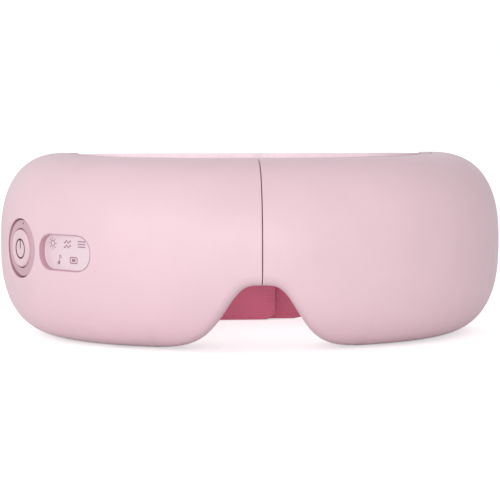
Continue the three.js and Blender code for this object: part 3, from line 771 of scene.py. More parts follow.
SLIT_ZONE = 12.0
SLIT_OFFSETS = np.array([0, 0.02, 0.07, 0.15, 0.27, 0.4, 0.55, 0.9, 1.4, 2, 2.7, 3.5, 4.3, 5.1, 5.9,
                         6.7, 7.5, 8.3, 9.1, 9.9, 10.7])
WINDOW_START = WINDOW_ARC - WINDOW_HALF[0] - PATCH_MARGIN
DISH_STOP = BUTTON_ARC + DISH_RADIUS + PATCH_MARGIN
ROUND_START = ARC_END - TEMPLE_ROUNDING
MIDDLE = np.concatenate([
    spaced(SLIT_ZONE, FINE_STOP, 0.8),
    spaced(FINE_STOP, WINDOW_START, 1.1)[1:],
    spaced(WINDOW_START, GAP_ARC, 0.95)[1:],
    spaced(GAP_ARC, DISH_STOP, 0.95)[1:],
    spaced(DISH_STOP, ROUND_START, 1.1)[1:],
])
ROUND_STEPS = np.sin(np.linspace(0, math.pi / 2, 16))[1:]
WINDOW_COLUMN = len(SLIT_OFFSETS) + int(np.argmin(abs(MIDDLE - WINDOW_START)))
GAP_COLUMN = len(SLIT_OFFSETS) + int(np.argmin(abs(MIDDLE - GAP_ARC)))
DISH_COLUMN = len(SLIT_OFFSETS) + int(np.argmin(abs(MIDDLE - DISH_STOP)))
NOTCH_COLUMNS = len(SLIT_OFFSETS) + int(np.argmin(abs(MIDDLE - 43)))


def row_shares():
    """Where the rows lie along the section, closer together towards the lower edge."""
    steps = np.concatenate([np.full(4, 0.5), np.full(90, 1.0), np.linspace(0.9, 0.35, 14),
                            np.full(12, 0.3)])
    places = np.append(0, np.cumsum(steps))
    return places / places[-1]


ROW_SHARES = row_shares()
ROW_H = np.interp(ROW_SHARES, section_arc, section_h)


def row_near(z):
    return int(np.argmin(abs(MID + MID * ROW_H - z)))


def columns_for(wall):
    first = arc_of(SLIT / 2 + 0.9 * wall) if wall else arc_of(SLIT / 2)
    slit = first + SLIT_OFFSETS * (SLIT_ZONE - first) / (SLIT_ZONE - arc_of(SLIT / 2))
    rounding = TEMPLE_ROUNDING - wall
    tail = ROUND_START + rounding * ROUND_STEPS
    return np.concatenate([slit, MIDDLE, tail])


notch_line_x = np.linspace(0, NOTCH_REACH, 881)
notch_line_z = notch_z(notch_line_x)
edge_depth = crown_depth(np.clip(notch_line_z, 0, MID))
notch_line_r = NOTCH_EDGE * np.clip((CROWN_DEPTH - edge_depth) / 22, 0, 1) ** 0.8


def fillet(distance, radius):
    """How far a rounded edge of a radius falls back at a distance from the sharp edge."""
    radius = np.maximum(radius, 1e-6)
    inner = np.clip(radius - distance, 0, radius)
    return radius - np.sqrt(radius ** 2 - inner ** 2)


def round_notch(points):
    """Rounds the front surface over towards the wall of the nose notch."""
    flat = points.reshape(-1, 3)
    near = np.abs(flat[:, 0]) < NOTCH_REACH
    block_size = 2000
    for start in range(0, len(flat), block_size):
        part = slice(start, start + block_size)
        chosen = near[part]
        if not chosen.any():
            continue
        here = flat[part][chosen]
        gap = np.hypot(here[:, None, 0] - notch_line_x, here[:, None, 2] - notch_line_z)
        best = gap.argmin(1)
        fall = fillet(gap.min(1), notch_line_r[best])
        limit = rear_y(here[:, 0], CROWN_DEPTH) - here[:, 1] - 0.05
        here[:, 1] += np.minimum(fall, np.maximum(limit, 0))
        block = flat[part]
        block[chosen] = here
        flat[part] = block
    return flat.reshape(points.shape)


def rounded_outline(angles, half, offset):
    """Distance from the middle to a rounded oblong's outline, moved out by an offset."""
    a, b, c = (h + offset for h in half)
    c = min(c, b)
    low, high = np.zeros_like(angles), np.full_like(angles, 40.0)
    for _ in range(40):
        middle = (low + high) / 2
        u = np.abs(middle * np.cos(angles)) - (a - c)
        w = np.abs(middle * np.sin(angles)) - (b - c)
        out = np.hypot(np.maximum(u, 0), np.maximum(w, 0)) + np.minimum(np.maximum(u, w), 0) - c
        low = np.where(out < 0, middle, low)
        high = np.where(out < 0, high, middle)
    return low


def shell_point(s, z, extra=0.0, wall=0.0):
    return inside(s, crown_depth(z, wall) + extra, z)


seat_x, seat_y, seat_turn = station(BUTTON_ARC)
SEAT = np.array([seat_x, seat_y, CONTROL_Z])
SEAT_IN = np.array([-math.sin(seat_turn), math.cos(seat_turn), 0])
SEAT_U = np.array([math.cos(seat_turn), math.sin(seat_turn), 0])


def seat_surface(u, w, wall=0.0):
    """The shell's surface at local coordinates across the button's seat."""
    s = BUTTON_ARC + u
    for _ in range(8):
        point = shell_point(s, CONTROL_Z + w, 0, wall)
        s = s + u - (point - SEAT) @ SEAT_U
    return point


def seat_point(u, w, depth):
    u, w, depth = np.broadcast_arrays(u, w, depth)
    return SEAT + u[..., None] * SEAT_U + w[..., None] * np.array([0, 0, 1]) \
        + depth[..., None] * SEAT_IN


def loop_of(index, i0, i1, j0, j1):
    return np.concatenate([index[i0:i1, j0], index[i1, j0:j1], index[i1:i0:-1, j1],
                           index[i0, j1:j0:-1]])


EDGE_ANGLES = np.linspace(0, math.pi / 2, 6)


def dish_rings(start, wall):
    """Rings of points from a rectangle of shell points in to the bore behind the button."""
    local = start - SEAT
    u, w = local @ SEAT_U, local[:, 2]
    angle = np.arctan2(w, u)

    def circle(radius):
        return radius * np.cos(angle), radius * np.sin(angle)

    edge = 0.45
    outer = DISH_RADIUS + (0.55 if wall else edge)
    rings = [start]
    for share in (0.4, 0.75, 1.0):
        cu, cw = circle(outer)
        rings.append(seat_surface(u + (cu - u) * share, w + (cw - w) * share, wall))
    if wall:
        for share in np.linspace(0, 1, len(EDGE_ANGLES) + 2)[1:]:
            top = rings[3]
            depth = (top - SEAT) @ SEAT_IN
            rings.append(seat_point(*circle(outer), depth + (CUP_DEPTH - depth) * share))
        for radius in (10.4, 9.2, 8.2, STEM_RADIUS, STEM_RADIUS):
            rings.append(seat_point(*circle(radius), CUP_DEPTH))
        return rings
    for turn in EDGE_ANGLES[1:]:
        radius = DISH_RADIUS + edge * (1 - math.sin(turn))
        base = seat_surface(*circle(radius))
        rings.append(base + edge * (1 - math.cos(turn)) * SEAT_IN)
    depth = (rings[-1] - SEAT) @ SEAT_IN
    for share in (0.5, 1.0):
        rings.append(seat_point(*circle(DISH_RADIUS), depth + (DISH_FLOOR - depth) * share))
    for radius, level in ((10.8, DISH_FLOOR), (9.2, DISH_FLOOR), (7.9, DISH_FLOOR),
                          (STEM_RADIUS, 4.7), (STEM_RADIUS, CUP_DEPTH)):
        rings.append(seat_point(*circle(radius), level))
    return rings


def window_rings(arcs, heights, wall):
    """Rings from a rectangle of shell points in to the opening for the light guide."""
    u, w = arcs - WINDOW_ARC, heights - CONTROL_Z
    angle = np.arctan2(w, u)

    def outline(offset):
        size = rounded_outline(angle, WINDOW_HALF, offset)
        return WINDOW_ARC + size * np.cos(angle), CONTROL_Z + size * np.sin(angle)

    edge = 0.6
    outer = 0.62 if wall else edge
    s_out, z_out = outline(outer)
    rings = [shell_point(arcs, heights, 0, wall)]
    for share in (0.4, 0.75, 1.0):
        rings.append(shell_point(arcs + (s_out - arcs) * share,
                                 heights + (z_out - heights) * share, 0, wall))
    if wall:
        top = crown_depth(z_out, wall)
        for share in np.linspace(0, 1, len(EDGE_ANGLES) + 2)[1:]:
            rings.append(inside(s_out, top + (FRAME_DEPTH - top) * share, z_out))
        for offset in (-0.4, -1.2, -2.0, -2.0):
            s, z = outline(offset)
            rings.append(inside(s, FRAME_DEPTH, z))
        return rings
    for turn in EDGE_ANGLES[1:]:
        s, z = outline(edge * (1 - math.sin(turn)))
        rings.append(shell_point(s, z, edge * (1 - math.cos(turn))))
    for offset, level in ((-0.24, 1.0), (-0.3, 1.9), (-0.3, WINDOW_FLOOR), (-1.2, WINDOW_FLOOR),
                          (-1.9, WINDOW_FLOOR), (-2.0, 4.1), (-2.0, FRAME_DEPTH)):
        s, z = outline(offset)
        rings.append(inside(s, level, z))
    return rings


def shell_sheet(skin, wall, controls):
    """Adds the outer or inner surface of a housing; returns its rear edge and bore loops."""
    arcs = columns_for(wall)
    x, y, turn = station(arcs)
    inset = wall + end_inset(y, TEMPLE_ROUNDING - wall, TEMPLE_END - wall)
    shares = np.tile(ROW_SHARES, (len(arcs), 1))
    for i in range(NOTCH_COLUMNS + 1):
        depth = CROWN_DEPTH - (CROWN_DEPTH - wall) * section_d
        height = MID + (MID - wall) * section_h
        over = height - notch_z(x[i] - depth * math.sin(turn[i]), wall)
        below = np.nonzero(over < 0)[0]
        below = below[below > 20]
        if len(below):
            k = below[0]
            f = over[k - 1] / (over[k - 1] - over[k])
            end = section_arc[k - 1] + f * (section_arc[k] - section_arc[k - 1])
            shares[i] = ROW_SHARES * end
    h = np.interp(shares, section_arc, section_h)
    d = np.interp(shares, section_arc, section_d)
    depth = CROWN_DEPTH - (CROWN_DEPTH - inset[:, None]) * d
    height = MID + (MID - inset[:, None]) * h
    grid = np.stack([x[:, None] - depth * np.sin(turn)[:, None],
                     y[:, None] + depth * np.cos(turn)[:, None], height], axis=-1)
    if not wall:
        from_slit = grid[..., 0] - SLIT / 2
        fall = fillet(np.clip(from_slit, 0, None), SLIT_EDGE) * (from_slit < SLIT_EDGE)
        back = d ** (CROWN_POWER - 1) / CROWN_DEPTH
        down = -signed_power(h, CROWN_POWER - 1) / MID
        size = np.hypot(back, down) + 1e-9
        grid[..., 1] += fall * back / size
        grid[..., 2] += fall * down / size
        grid[:NOTCH_COLUMNS + 1] = round_notch(grid[:NOTCH_COLUMNS + 1])
    index = skin.add(grid)
    boxes, bores = [], []
    # Only the outer sheet takes the painted shade down its recess walls.
    painted_shade_from = None if wall else PAINTED_SHADE_FROM

    def patch(first, last, half):
        reach = half + PATCH_MARGIN
        return first, last, row_near(CONTROL_Z + reach), row_near(CONTROL_Z - reach)

    if controls:
        dish = patch(GAP_COLUMN, DISH_COLUMN, DISH_RADIUS)
        window = patch(WINDOW_COLUMN, GAP_COLUMN, WINDOW_HALF[1])
        boxes = [dish, window]
        loop = loop_of(index, *dish)
        points = np.vstack(skin.points)[loop]
        rings = dish_rings(points, wall)
        bores.append(add_rings(skin, loop, rings[1:], painted_shade_from))
        loop = loop_of(index, *window)
        column = np.tile(arcs[:, None], (1, len(ROW_SHARES)))
        heights = grid[..., 2]
        base = index[0, 0]
        rings = window_rings(column.ravel()[loop - base], heights.ravel()[loop - base], wall)
        bores.append(add_rings(skin, loop, rings[1:], painted_shade_from))
    skin.quads(index, skip=boxes)

    def run_back(edge, rear):
        """A wall from an edge of the sheet to its rear line; returns that line's indices."""
        band = skin.add(edge[:, None] + (rear - edge)[:, None] * DEPTH_STEPS[None, :, None])
        skin.quads(band)
        return band[:, -1]

    first, last, edge = grid[0], grid[-1], grid[:NOTCH_COLUMNS + 1, -1]
    rear_first, rear_last, rear_edge = first.copy(), last.copy(), edge.copy()
    rear_first[:, 1] = rear_y(first[:, 0], CROWN_DEPTH)
    rear_last[:, 0] = HALF_WIDTH - CROWN_DEPTH
    rear_edge[:, 1] = np.maximum(rear_y(edge[:, 0], CROWN_DEPTH), edge[:, 1])
    slit, temple = run_back(first, rear_first), run_back(last, rear_last)
    notch = run_back(edge, rear_edge)
    rims = [index[:, 0], index[NOTCH_COLUMNS:, -1], notch, slit, temple]
    return rims, bores


def add_rings(skin, loop, rings, painted_shade_from=None):
    """Joins a loop of points to successive rings inside it; notes the faces from one ring on, which take the painted
    shade of a recess wall; returns the last ring.
    """
    previous = loop
    for place_in, ring in enumerate(rings):
        index = skin.add(ring)
        if place_in == painted_shade_from:
            first_painted_shade = len(skin.faces)
        skin.quads(np.stack([previous, index], axis=1), wrap=True)
        previous = index
    # The faces from that ring inward take the darker recess satin: painted shade down the wall.
    if painted_shade_from is not None:
        skin.painted_shade_faces.append((first_painted_shade, len(skin.faces)))
    return previous


def box_cutter(low, high):
    (x0, x1), (y0, y1), zs = zip(low, high)
    return prism_cutter([[[x, y, z] for x, y in ((x0, y0), (x1, y0), (x1, y1), (x0, y1))]
                         for z in zs])


def front_shell(side, controls):
    word = side_word(side)
    skin = Skin()
    outer, outer_bores = shell_sheet(skin, 0.0, controls)
    inner, inner_bores = shell_sheet(skin, WALL, controls)
    for a, b in zip(outer, inner):
        skin.strip(a, b)
    for a, b in zip(outer_bores, inner_bores):
        skin.quads(np.stack([a, b], axis=1), wrap=True)
    obj = skin.build(f"{word}_housing_front", "shell", side=side, weld=0.006,
                     cad=[f"{word}_front_shell"], slot="shell")
    cutters = [box_cutter(*HINGE_POCKET),
               slot_cutter((side * STRAP_X, TEMPLE_END, MID), (0, 1, 0), (0, 0, 1), *STRAP_SLOT)]
    if side < 0:
        x, y, turn = station(arc_of(PORT_X))
        port = (-(x - PORT_DEPTH * math.sin(turn)), y + PORT_DEPTH * math.cos(turn), 0)
        cutters.append(slot_cutter(port, (0, 0, 1), (-math.cos(turn), math.sin(turn), 0),
                                   *PORT_SLOT))
    carve(obj, cutters, 0.22)
    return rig.ride(obj, f"{word}_half")


front_shell(-1, True)
front_shell(1, False)

# ---- Rear shells ----


def back_reach(x):
    """Rear surface of the rear shell, rounded about the hinge pin near the slit."""
    radius = PIN_X - SLIT / 2
    across = np.clip(PIN_X - x, 0, radius)
    return np.where(x < PIN_X, np.maximum(PIN_Y + np.sqrt(radius ** 2 - across ** 2),
                                          BACK_FRONT + 0.35), BACK_REAR)


def rear_shell(side):
    word = side_word(side)
    start = arc_of(SLIT / 2)
    arcs = np.concatenate([start + np.array([0, 0.15, 0.5, 1, 1.6, 2.3, 3.1, 4.1, 5.5]),
                           spaced(7, ROUND_START, 1.3),
                           ROUND_START + TEMPLE_ROUNDING * ROUND_STEPS])
    x, y, turn = station(arcs)
    inset = end_inset(y)
    reach = back_reach(x)
    levels = np.linspace(0, 1, 13)
    rings = []
    for i in range(len(arcs)):
        top = 2 * MID - inset[i]
        ring = []
        for depth in (BACK_FRONT, reach[i]):
            low = max(inset[i], float(notch_z(x[i] - depth * math.sin(turn[i]))))
            column = [(depth, top + (low - top) * k) for k in levels]
            ring.append(column)
        outline = ring[1] + ring[0][::-1]
        rings.append(inside(arcs[i], np.array([p[0] for p in outline]),
                            np.array([p[1] for p in outline])))
    skin = Skin()
    skin.tube(rings)
    obj = skin.build(f"{word}_housing_back", "rear_shell", side=side, weld=0.002,
                     cad=[f"{word}_rear_shell"], slot="rear_shell")
    carve(obj, [box_cutter(*HINGE_POCKET), box_cutter(*HOSE_ROOM)], 0.35)
    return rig.ride(obj, f"{word}_half")


rear_shell(-1)
rear_shell(1)

# ---- Soft liner ----

PAD_ARC = 37.0
PAD_Z = 42.0
PAD_HALF = (23.0, 19.5)
PAD_SQUARE = 2.5
CHANNEL = 0.9
PAD_RISE = 2.3
PAD_BURIED = 4.4
PAD_VOXEL = 2.4
PAD_PRESSURE = 22
PAD_CAP = 2.4
PAD_FRAMES = 20
LINER_POWER = 3.6
LINER_SHORT = 0.4
LINER_NOTCH_MARGIN = 1.4
LINER_BLEND = ((2, 35, 40), (30, 35, 40))


def smooth(value, start, stop):
    t = np.clip((value - start) / (stop - start), 0, 1)
    return t * t * (3 - 2 * t)


def liner_thickness(y):
    return LINER_EYE + (LINER_TEMPLE - LINER_EYE) * smooth(y, 20, 78)


def pad_share(s, z):
    """0 in the middle of the eye pad, 1 at its outline."""
    across = np.abs((s - PAD_ARC) / PAD_HALF[0]) ** PAD_SQUARE
    up = np.abs((z - PAD_Z) / PAD_HALF[1]) ** PAD_SQUARE
    return (across + up) ** (1 / PAD_SQUARE)


def swell(obj, voxel, pressure, cap):
    """Blows a closed form up with the cloth solver, no point moving further than the cap."""
    remesh = obj.modifiers.new("remesh", "REMESH")
    remesh.mode = "VOXEL"
    remesh.voxel_size = voxel * MM
    apply_modifiers(obj)
    start = np.array([v.co for v in obj.data.vertices])
    cloth = obj.modifiers.new("swell", "CLOTH")
    cloth.settings.use_pressure = True
    cloth.settings.uniform_pressure_force = pressure
    cloth.settings.effector_weights.gravity = 0
    cloth.point_cache.frame_start = 1
    cloth.point_cache.frame_end = PAD_FRAMES
    for step in range(1, PAD_FRAMES + 1):
        bpy.context.scene.frame_set(step)
    apply_modifiers(obj)
    end = np.array([v.co for v in obj.data.vertices])
    move = end - start
    size = np.linalg.norm(move, axis=1)
    share = np.minimum(1, cap * MM / np.maximum(size, 1e-9))
    for vertex, point in zip(obj.data.vertices, start + move * share[:, None]):
        vertex.co = point
    bpy.context.scene.frame_set(1)
    finer = obj.modifiers.new("finer", "SUBSURF")
    finer.levels = 1
    finer.render_levels = 1
    return apply_modifiers(obj)


def eye_pad(side):
    """The raised cushion over one eye, before it is joined to the liner."""
    turn = np.linspace(0, 2 * math.pi, 72, endpoint=False)
    out = np.linspace(0, 1, 12)
    across = PAD_ARC + PAD_HALF[0] * np.outer(out, signed_power(np.cos(turn), 2 / PAD_SQUARE))
    up = PAD_Z + PAD_HALF[1] * np.outer(out, signed_power(np.sin(turn), 2 / PAD_SQUARE))
    skin = Skin()
    sheets = []
    for rise in (PAD_RISE, -PAD_BURIED):
        y = np.interp(across, plan_arc, plan_y)
        crown = 1 - 0.75 * out[:, None] ** 3 if rise > 0 else 1
        depth = LINER_FRONT + liner_thickness(y) + rise * crown
        sheets.append(skin.add(inside(across, depth, up).transpose(1, 0, 2)))
    skin.quads(sheets[0], wrap=True)
    skin.quads(sheets[1], wrap=True)
    skin.quads(np.stack([sheets[0][:, -1], sheets[1][:, -1]], axis=1), wrap=True)
    pad = skin.build("pad", "cushion", side=side, weld=0.002)
    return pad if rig.quick() else swell(pad, PAD_VOXEL, PAD_PRESSURE, PAD_CAP)


def liner(side):
    """One half of the soft liner, from the middle of the nose bridge to the temple."""
    word = side_word(side)
    last = ROUND_START - LINER_SHORT
    arcs = np.concatenate([spaced(0, 70, 1.25), spaced(70, last, 1.6)[1:],
                           last + TEMPLE_ROUNDING * ROUND_STEPS])
    x, y, turn = station(arcs)
    inset = end_inset(y, TEMPLE_ROUNDING, TEMPLE_END - LINER_SHORT)
    angle = np.linspace(math.pi / 2, -math.pi / 2, 72)
    share_d = np.abs(np.cos(angle)) ** (2 / LINER_POWER)
    share_h = signed_power(np.sin(angle), 2 / LINER_POWER)
    share_d[[0, -1]] = 0
    thick = liner_thickness(y)
    rings = []
    for i in range(len(arcs)):
        t = max(1.2, thick[i] - inset[i] / 2)
        low, high = 0.5 + inset[i], LINER_TOP - LINER_FALL * y[i] - inset[i]
        middle, half = (low + high) / 2, (high - low) / 2
        z = middle + half * share_h
        d = LINER_FRONT + t * share_d
        bottom = float(notch_z(x[i] - LINER_FRONT * math.sin(turn[i]),
                               LINER_NOTCH_MARGIN))
        if bottom > low:
            middle, half = (bottom + high) / 2, (high - bottom) / 2
            z = middle + half * share_h
        d = d - CHANNEL * np.exp(-((pad_share(arcs[i], z) - 1.05) / 0.055) ** 2) * share_d ** 3
        front = np.linspace(z[-1], z[0], 14)[1:-1]
        ring_d = np.concatenate([d, np.full(len(front), LINER_FRONT)])
        ring_z = np.concatenate([z, front])
        rings.append(inside(arcs[i], ring_d, ring_z))
    skin = Skin()
    skin.tube(rings)
    cad = [f"{word}_eye_cushion"] + (["nose_bridge_pad"] if side > 0 else [])
    obj = skin.build(f"{word}_eye_liner", "cushion", side=side, weld=0.002, cad=cad,
                     slot="cushion")
    pad = eye_pad(side)
    union = obj.modifiers.new("pad", "BOOLEAN")
    union.object = pad
    union.operation = "UNION"
    union.solver = "EXACT"
    apply_modifiers(obj)
    bpy.data.objects.remove(pad)
    clean(obj, 0.01, 60)
    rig.padded(obj, 0.7)
    start, stop = (place(side * x, y, z) for x, y, z in LINER_BLEND)
    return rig.blend(obj, "hinge", f"{word}_half", start, stop)


liner(-1)
liner(1)

# ---- Button, dish and window ----


def turned_piece(name, look, profile, body, cad, slot, sides=96):
    """A piece turned about the button's axis; the profile is a closed loop of radius and depth."""
    angle = np.linspace(0, 2 * math.pi, sides, endpoint=False)
    skin = Skin()
    grid = np.array([seat_point(r * np.cos(angle), r * np.sin(angle), q) for r, q in profile])
    index = skin.add(grid.transpose(1, 0, 2))
    closed = profile[0][0] > 0.01
    if closed:
        index = np.concatenate([index, index[:, :1]], axis=1)
    skin.quads(index, wrap=True)
    return skin.build(name, look, body, side=-1, weld=0.004, cad=cad, slot=slot)


def arc_profile(centre_r, centre_q, radius, start, stop, steps=6):
    return [(centre_r + radius * math.cos(t), centre_q + radius * math.sin(t))
            for t in np.linspace(math.radians(start), math.radians(stop), steps)]


dish_inner = BUTTON_RADIUS + 0.4
dish_outer = DISH_RADIUS - 0.5
looks["trim"] = turned_plastic("dish_satin", srgb(207, 169, 180), tuple(row(SEAT * [-1, 1, 1])))
dish_profile = ([(dish_inner, 4.1), (dish_inner, 1.45)]
                + arc_profile(dish_inner + 0.25, 1.4, 0.25, 180, 270, 5)
                + [(r, 1.15 + 0.4 * ((r - 7.85) / 3.0) ** 1.5) for r in
                   np.linspace(8.2, 10.6, 10)]
                + arc_profile(dish_outer - 0.25, 1.8, 0.25, 270, 360, 5)
                + [(dish_outer, 4.1)])
turned_piece("button_dish", "trim", dish_profile, "left_half", ["button_trim_ring"], "trim")

FACE = 0.55
HOLLOW = 0.22
HOLLOW_RADIUS = 6.3
button_profile = ([(0.0, FACE + HOLLOW)]
                  + [(r, FACE + HOLLOW * (1 - (r / HOLLOW_RADIUS) ** 2.5)) for r in
                     (0.6, 1.2, 2, 2.8, 3.6, 4.4, 5.1, 5.7, 6.1, HOLLOW_RADIUS)]
                  + arc_profile(BUTTON_RADIUS - 0.7, FACE + 0.7, 0.7, 285, 360, 8)
                  + [(BUTTON_RADIUS, 3.4), (BUTTON_RADIUS, 5.0), (2.0, 5.0), (2.0, 9.0),
                     (0.0, 9.0)])
turned_piece("power_button_cap", "button", button_profile, "button", ["power_button"], "button")


def ribbon(skin, points, width, lift, to_point, closed=False, thick=0.05):
    """A thin flat stroke along local points, laid on a surface by to_point(u, w, lift)."""
    p = np.array(points, float)
    if closed:
        ahead, behind = np.roll(p, -1, 0), np.roll(p, 1, 0)
    else:
        ahead, behind = np.vstack([p[1:], p[-1:]]), np.vstack([p[:1], p[:-1]])
    along = ahead - behind
    along /= np.maximum(np.linalg.norm(along, axis=1, keepdims=True), 1e-9)
    normal = np.stack([-along[:, 1], along[:, 0]], axis=1) * width / 2
    rings = []
    for offset, level in ((1, 0), (1, 0.6), (0.8, 1), (-0.8, 1), (-1, 0.6), (-1, 0)):
        q = p + normal * offset
        rings.append(to_point(q[:, 0], q[:, 1], lift - thick * level))
    index = skin.add(np.array(rings).transpose(1, 0, 2))
    index = np.concatenate([index, index[:, :1]], axis=1)
    skin.quads(index, wrap=closed)
    if not closed:
        skin.fan(index[0, :-1])
        skin.fan(index[-1, :-1][::-1])


def circle_points(radius, steps, centre, flat=1.0):
    """Points round a circle, the last one short of the first."""
    t = np.radians(np.linspace(0, 360, steps))[:-1]
    return np.stack([centre[0] + radius * np.cos(t), centre[1] + radius * flat * np.sin(t)], 1)


def face_depth(u, w, lift):
    """The button's hollowed face, for the mark on it. Local u runs towards the temple."""
    r = np.hypot(u, w)
    hollow = HOLLOW * (1 - np.clip(r / HOLLOW_RADIUS, 0, 1) ** 2.5)
    return seat_point(u, w, FACE + hollow + lift)


mark = Skin()
ribbon(mark, circle_points(3.6, 73, (0, -0.2)), 0.62, 0.0, face_depth, closed=True)
ribbon(mark, [(0, w) for w in np.linspace(3.8, -0.1, 12)], 0.52, -0.02, face_depth)
mark.build("power_mark", "power_print", "button", side=-1, weld=0.0005, slot="button")
# A small dark ring in the power mark's ink on the dish: painted shade that stands in for a tiny pin hole.
painted_pin_hole = Skin()
ribbon(painted_pin_hole, circle_points(0.22, 17, (-1.6, 9.5)), 0.42, 1.36, seat_point, closed=True)
painted_pin_hole.build("dish_painted_pin_hole", "power_print", "left_half", side=-1, weld=0.0005, slot="trim")


LENS_DEPTH = 2.15
LENS_SLOPE = 0.09
LENS_RIM = 0.955


def window_point(u, w, lift):
    """A place on the window's face, which lies deeper towards the temple."""
    depth = LENS_DEPTH + LENS_SLOPE * np.clip(u, -WINDOW_HALF[0], WINDOW_HALF[0])
    return inside(WINDOW_ARC + u, depth + lift, CONTROL_Z + w)


def indicator_lens():
    angle = np.linspace(0, 2 * math.pi, 120, endpoint=False)
    outline = rounded_outline(angle, WINDOW_HALF, -0.31)

    def ring(share, level):
        return window_point(share * outline * np.cos(angle), share * outline * np.sin(angle),
                            level)

    rings = [ring(share, 0.0) for share in (0.0, 0.2, 0.4, 0.6, 0.78, 0.9, LENS_RIM)]
    rings += [ring(LENS_RIM + (1 - LENS_RIM) * k, -0.55 * (1 - math.sqrt(1 - (0.96 * k) ** 2)))
              for k in np.linspace(0.2, 1, 5)]
    rings += [ring(1.0, 0.2), ring(1.0, 0.45), ring(0.6, 0.55), ring(0.0, 0.55)]
    skin = Skin()
    index = skin.add(np.array(rings).transpose(1, 0, 2))
    skin.quads(index, wrap=True)
    return skin.build("indicator_lens", "window", "left_half", side=-1, weld=0.002,
                      cad=["indicator_window"], slot="window")


indicator_lens()


def window_marks():
    """Generic marks: warmth, air, vibration, music and battery. u grows towards the temple."""
    skin = Skin()
    width = 0.3

    def centre(x, shift, z):
        return arc_of(x) - WINDOW_ARC + shift, z - CONTROL_Z

    def stroke(points, size=width, closed=False):
        ribbon(skin, points, size, -0.01, window_point, closed)

    sun = centre(77.6, 2.4, 39.8)
    stroke(circle_points(1.05, 33, sun), closed=True)
    for k in range(8):
        a = math.radians(45 * k)
        stroke([(sun[0] + r * math.cos(a), sun[1] + r * math.sin(a)) for r in (1.55, 1.95, 2.35)])
    waves = centre(71.8, 1.5, 39.9)
    t = np.linspace(-1, 1, 21)
    for shift in (-0.85, 0.85):
        stroke(np.stack([waves[0] + 1.9 * t, waves[1] + shift + 0.5 * np.sin(2 * math.pi * t)], 1),
               width * 1.2)
    bars = centre(66.1, 1.2, 40.2)
    for shift in (-1.0, 0.0, 1.0):
        stroke([(bars[0] + u, bars[1] + shift) for u in np.linspace(-1.8, 1.8, 8)], width * 1.3)
    note = centre(74.7, 2.2, 34.0)
    stroke(circle_points(0.5, 25, (note[0] + 0.45, note[1] - 1.3), 0.8), 0.5, True)
    stroke([(note[0] - 0.1, note[1] + w) for w in np.linspace(-1.2, 1.75, 8)])
    stroke([(note[0] - 0.1, note[1] + 1.7), (note[0] - 0.6, note[1] + 1.3),
            (note[0] - 1.0, note[1] + 0.6)], width * 1.2)
    cell = centre(69.6, 1.0, 34.0)
    box = [(-1.75, -1.1), (-1.75, 1.1), (1.75, 1.1), (1.75, -1.1)]
    outline = []
    for k in range(4):
        a, b = np.array(box[k]), np.array(box[(k + 1) % 4])
        outline += [tuple(a + (b - a) * f) for f in (0.1, 0.3, 0.5, 0.7, 0.9)]
    stroke([(cell[0] + u, cell[1] + w) for u, w in outline], width * 1.3, True)
    stroke([(cell[0] + u, cell[1]) for u in (-0.9, -0.3, 0.3, 0.9)], 1.0)
    return skin.build("window_marks", "print", "left_half", side=-1, weld=0.0005, slot="window")


window_marks()

# ---- Strap ----

LAYER_INNER = 0.0
LAYER_OUTER = 3.5
LEFT_STOP = 12
RIGHT_STOP = 30
LEFT_LAP = 2
RIGHT_LAP = 14
SPLIT_X = 46
ARM_BLEND_STOP = (67, 99)
LAP_BLEND = 26
TAIL_CORNER = 9.0
TAIL_TRIM = 2.8
LOWER_EDGE_SAG = 2.2
FLOOR_GAP = 0.12
STITCH = 2.3
STITCH_PITCH = 3.3
STITCH_RADIUS = 0.24
EDGE_SEAM = 1.75
HEM = 3.4
PATCH_HALF = (8.4, 14.8)
TAPE_HALF = 17
TAPE_LENGTH = 18.8
TAPE_THICK = 0.6


def strap_line(layer, stop):
    """Centre line of one strap from its slot at +X past the middle: points, normals, drop."""
    stub = np.stack([np.full(12, float(STRAP_X)), np.linspace(TEMPLE_END - 7.2, SLOT_Y, 12)], 1)
    angle = np.linspace(math.pi / 2, 0, 1400)
    x = STRAP_X * np.sin(angle) ** (2 / STRAP_POWER)
    y = SLOT_Y + (STRAP_BACK - SLOT_Y) * np.abs(np.cos(angle)) ** (2 / STRAP_POWER)
    line = np.vstack([stub[:-1], np.stack([x, y], 1)])
    beyond = np.linspace(0, stop, 200)[1:]
    share = beyond / STRAP_X
    y = SLOT_Y + (STRAP_BACK - SLOT_Y) * (1 - share ** STRAP_POWER) ** (1 / STRAP_POWER)
    line = np.vstack([line, np.stack([-beyond, y], 1)])
    arc = np.append(0, np.cumsum(np.linalg.norm(np.diff(line, axis=0), axis=1)))
    even = np.arange(0, arc[-1], 0.9)
    even = np.append(even, arc[-1])
    p = np.stack([np.interp(even, arc, line[:, 0]), np.interp(even, arc, line[:, 1])], 1)
    along = np.gradient(p, axis=0)
    along /= np.linalg.norm(along, axis=1, keepdims=True)
    normal = np.stack([along[:, 1], -along[:, 0]], 1)
    offset = layer * np.clip((1 - p[:, 0] / STRAP_X) / 0.85, 0, 1)
    offset[p[:, 1] <= SLOT_Y] = 0
    p = p + normal * offset[:, None]
    drop = STRAP_DROP * smooth(1 - np.clip(np.abs(p[:, 0]) / STRAP_X, 0, 1), 0, 0.85)
    drop[p[:, 1] <= SLOT_Y] = 0
    return even, p, normal, MID - drop


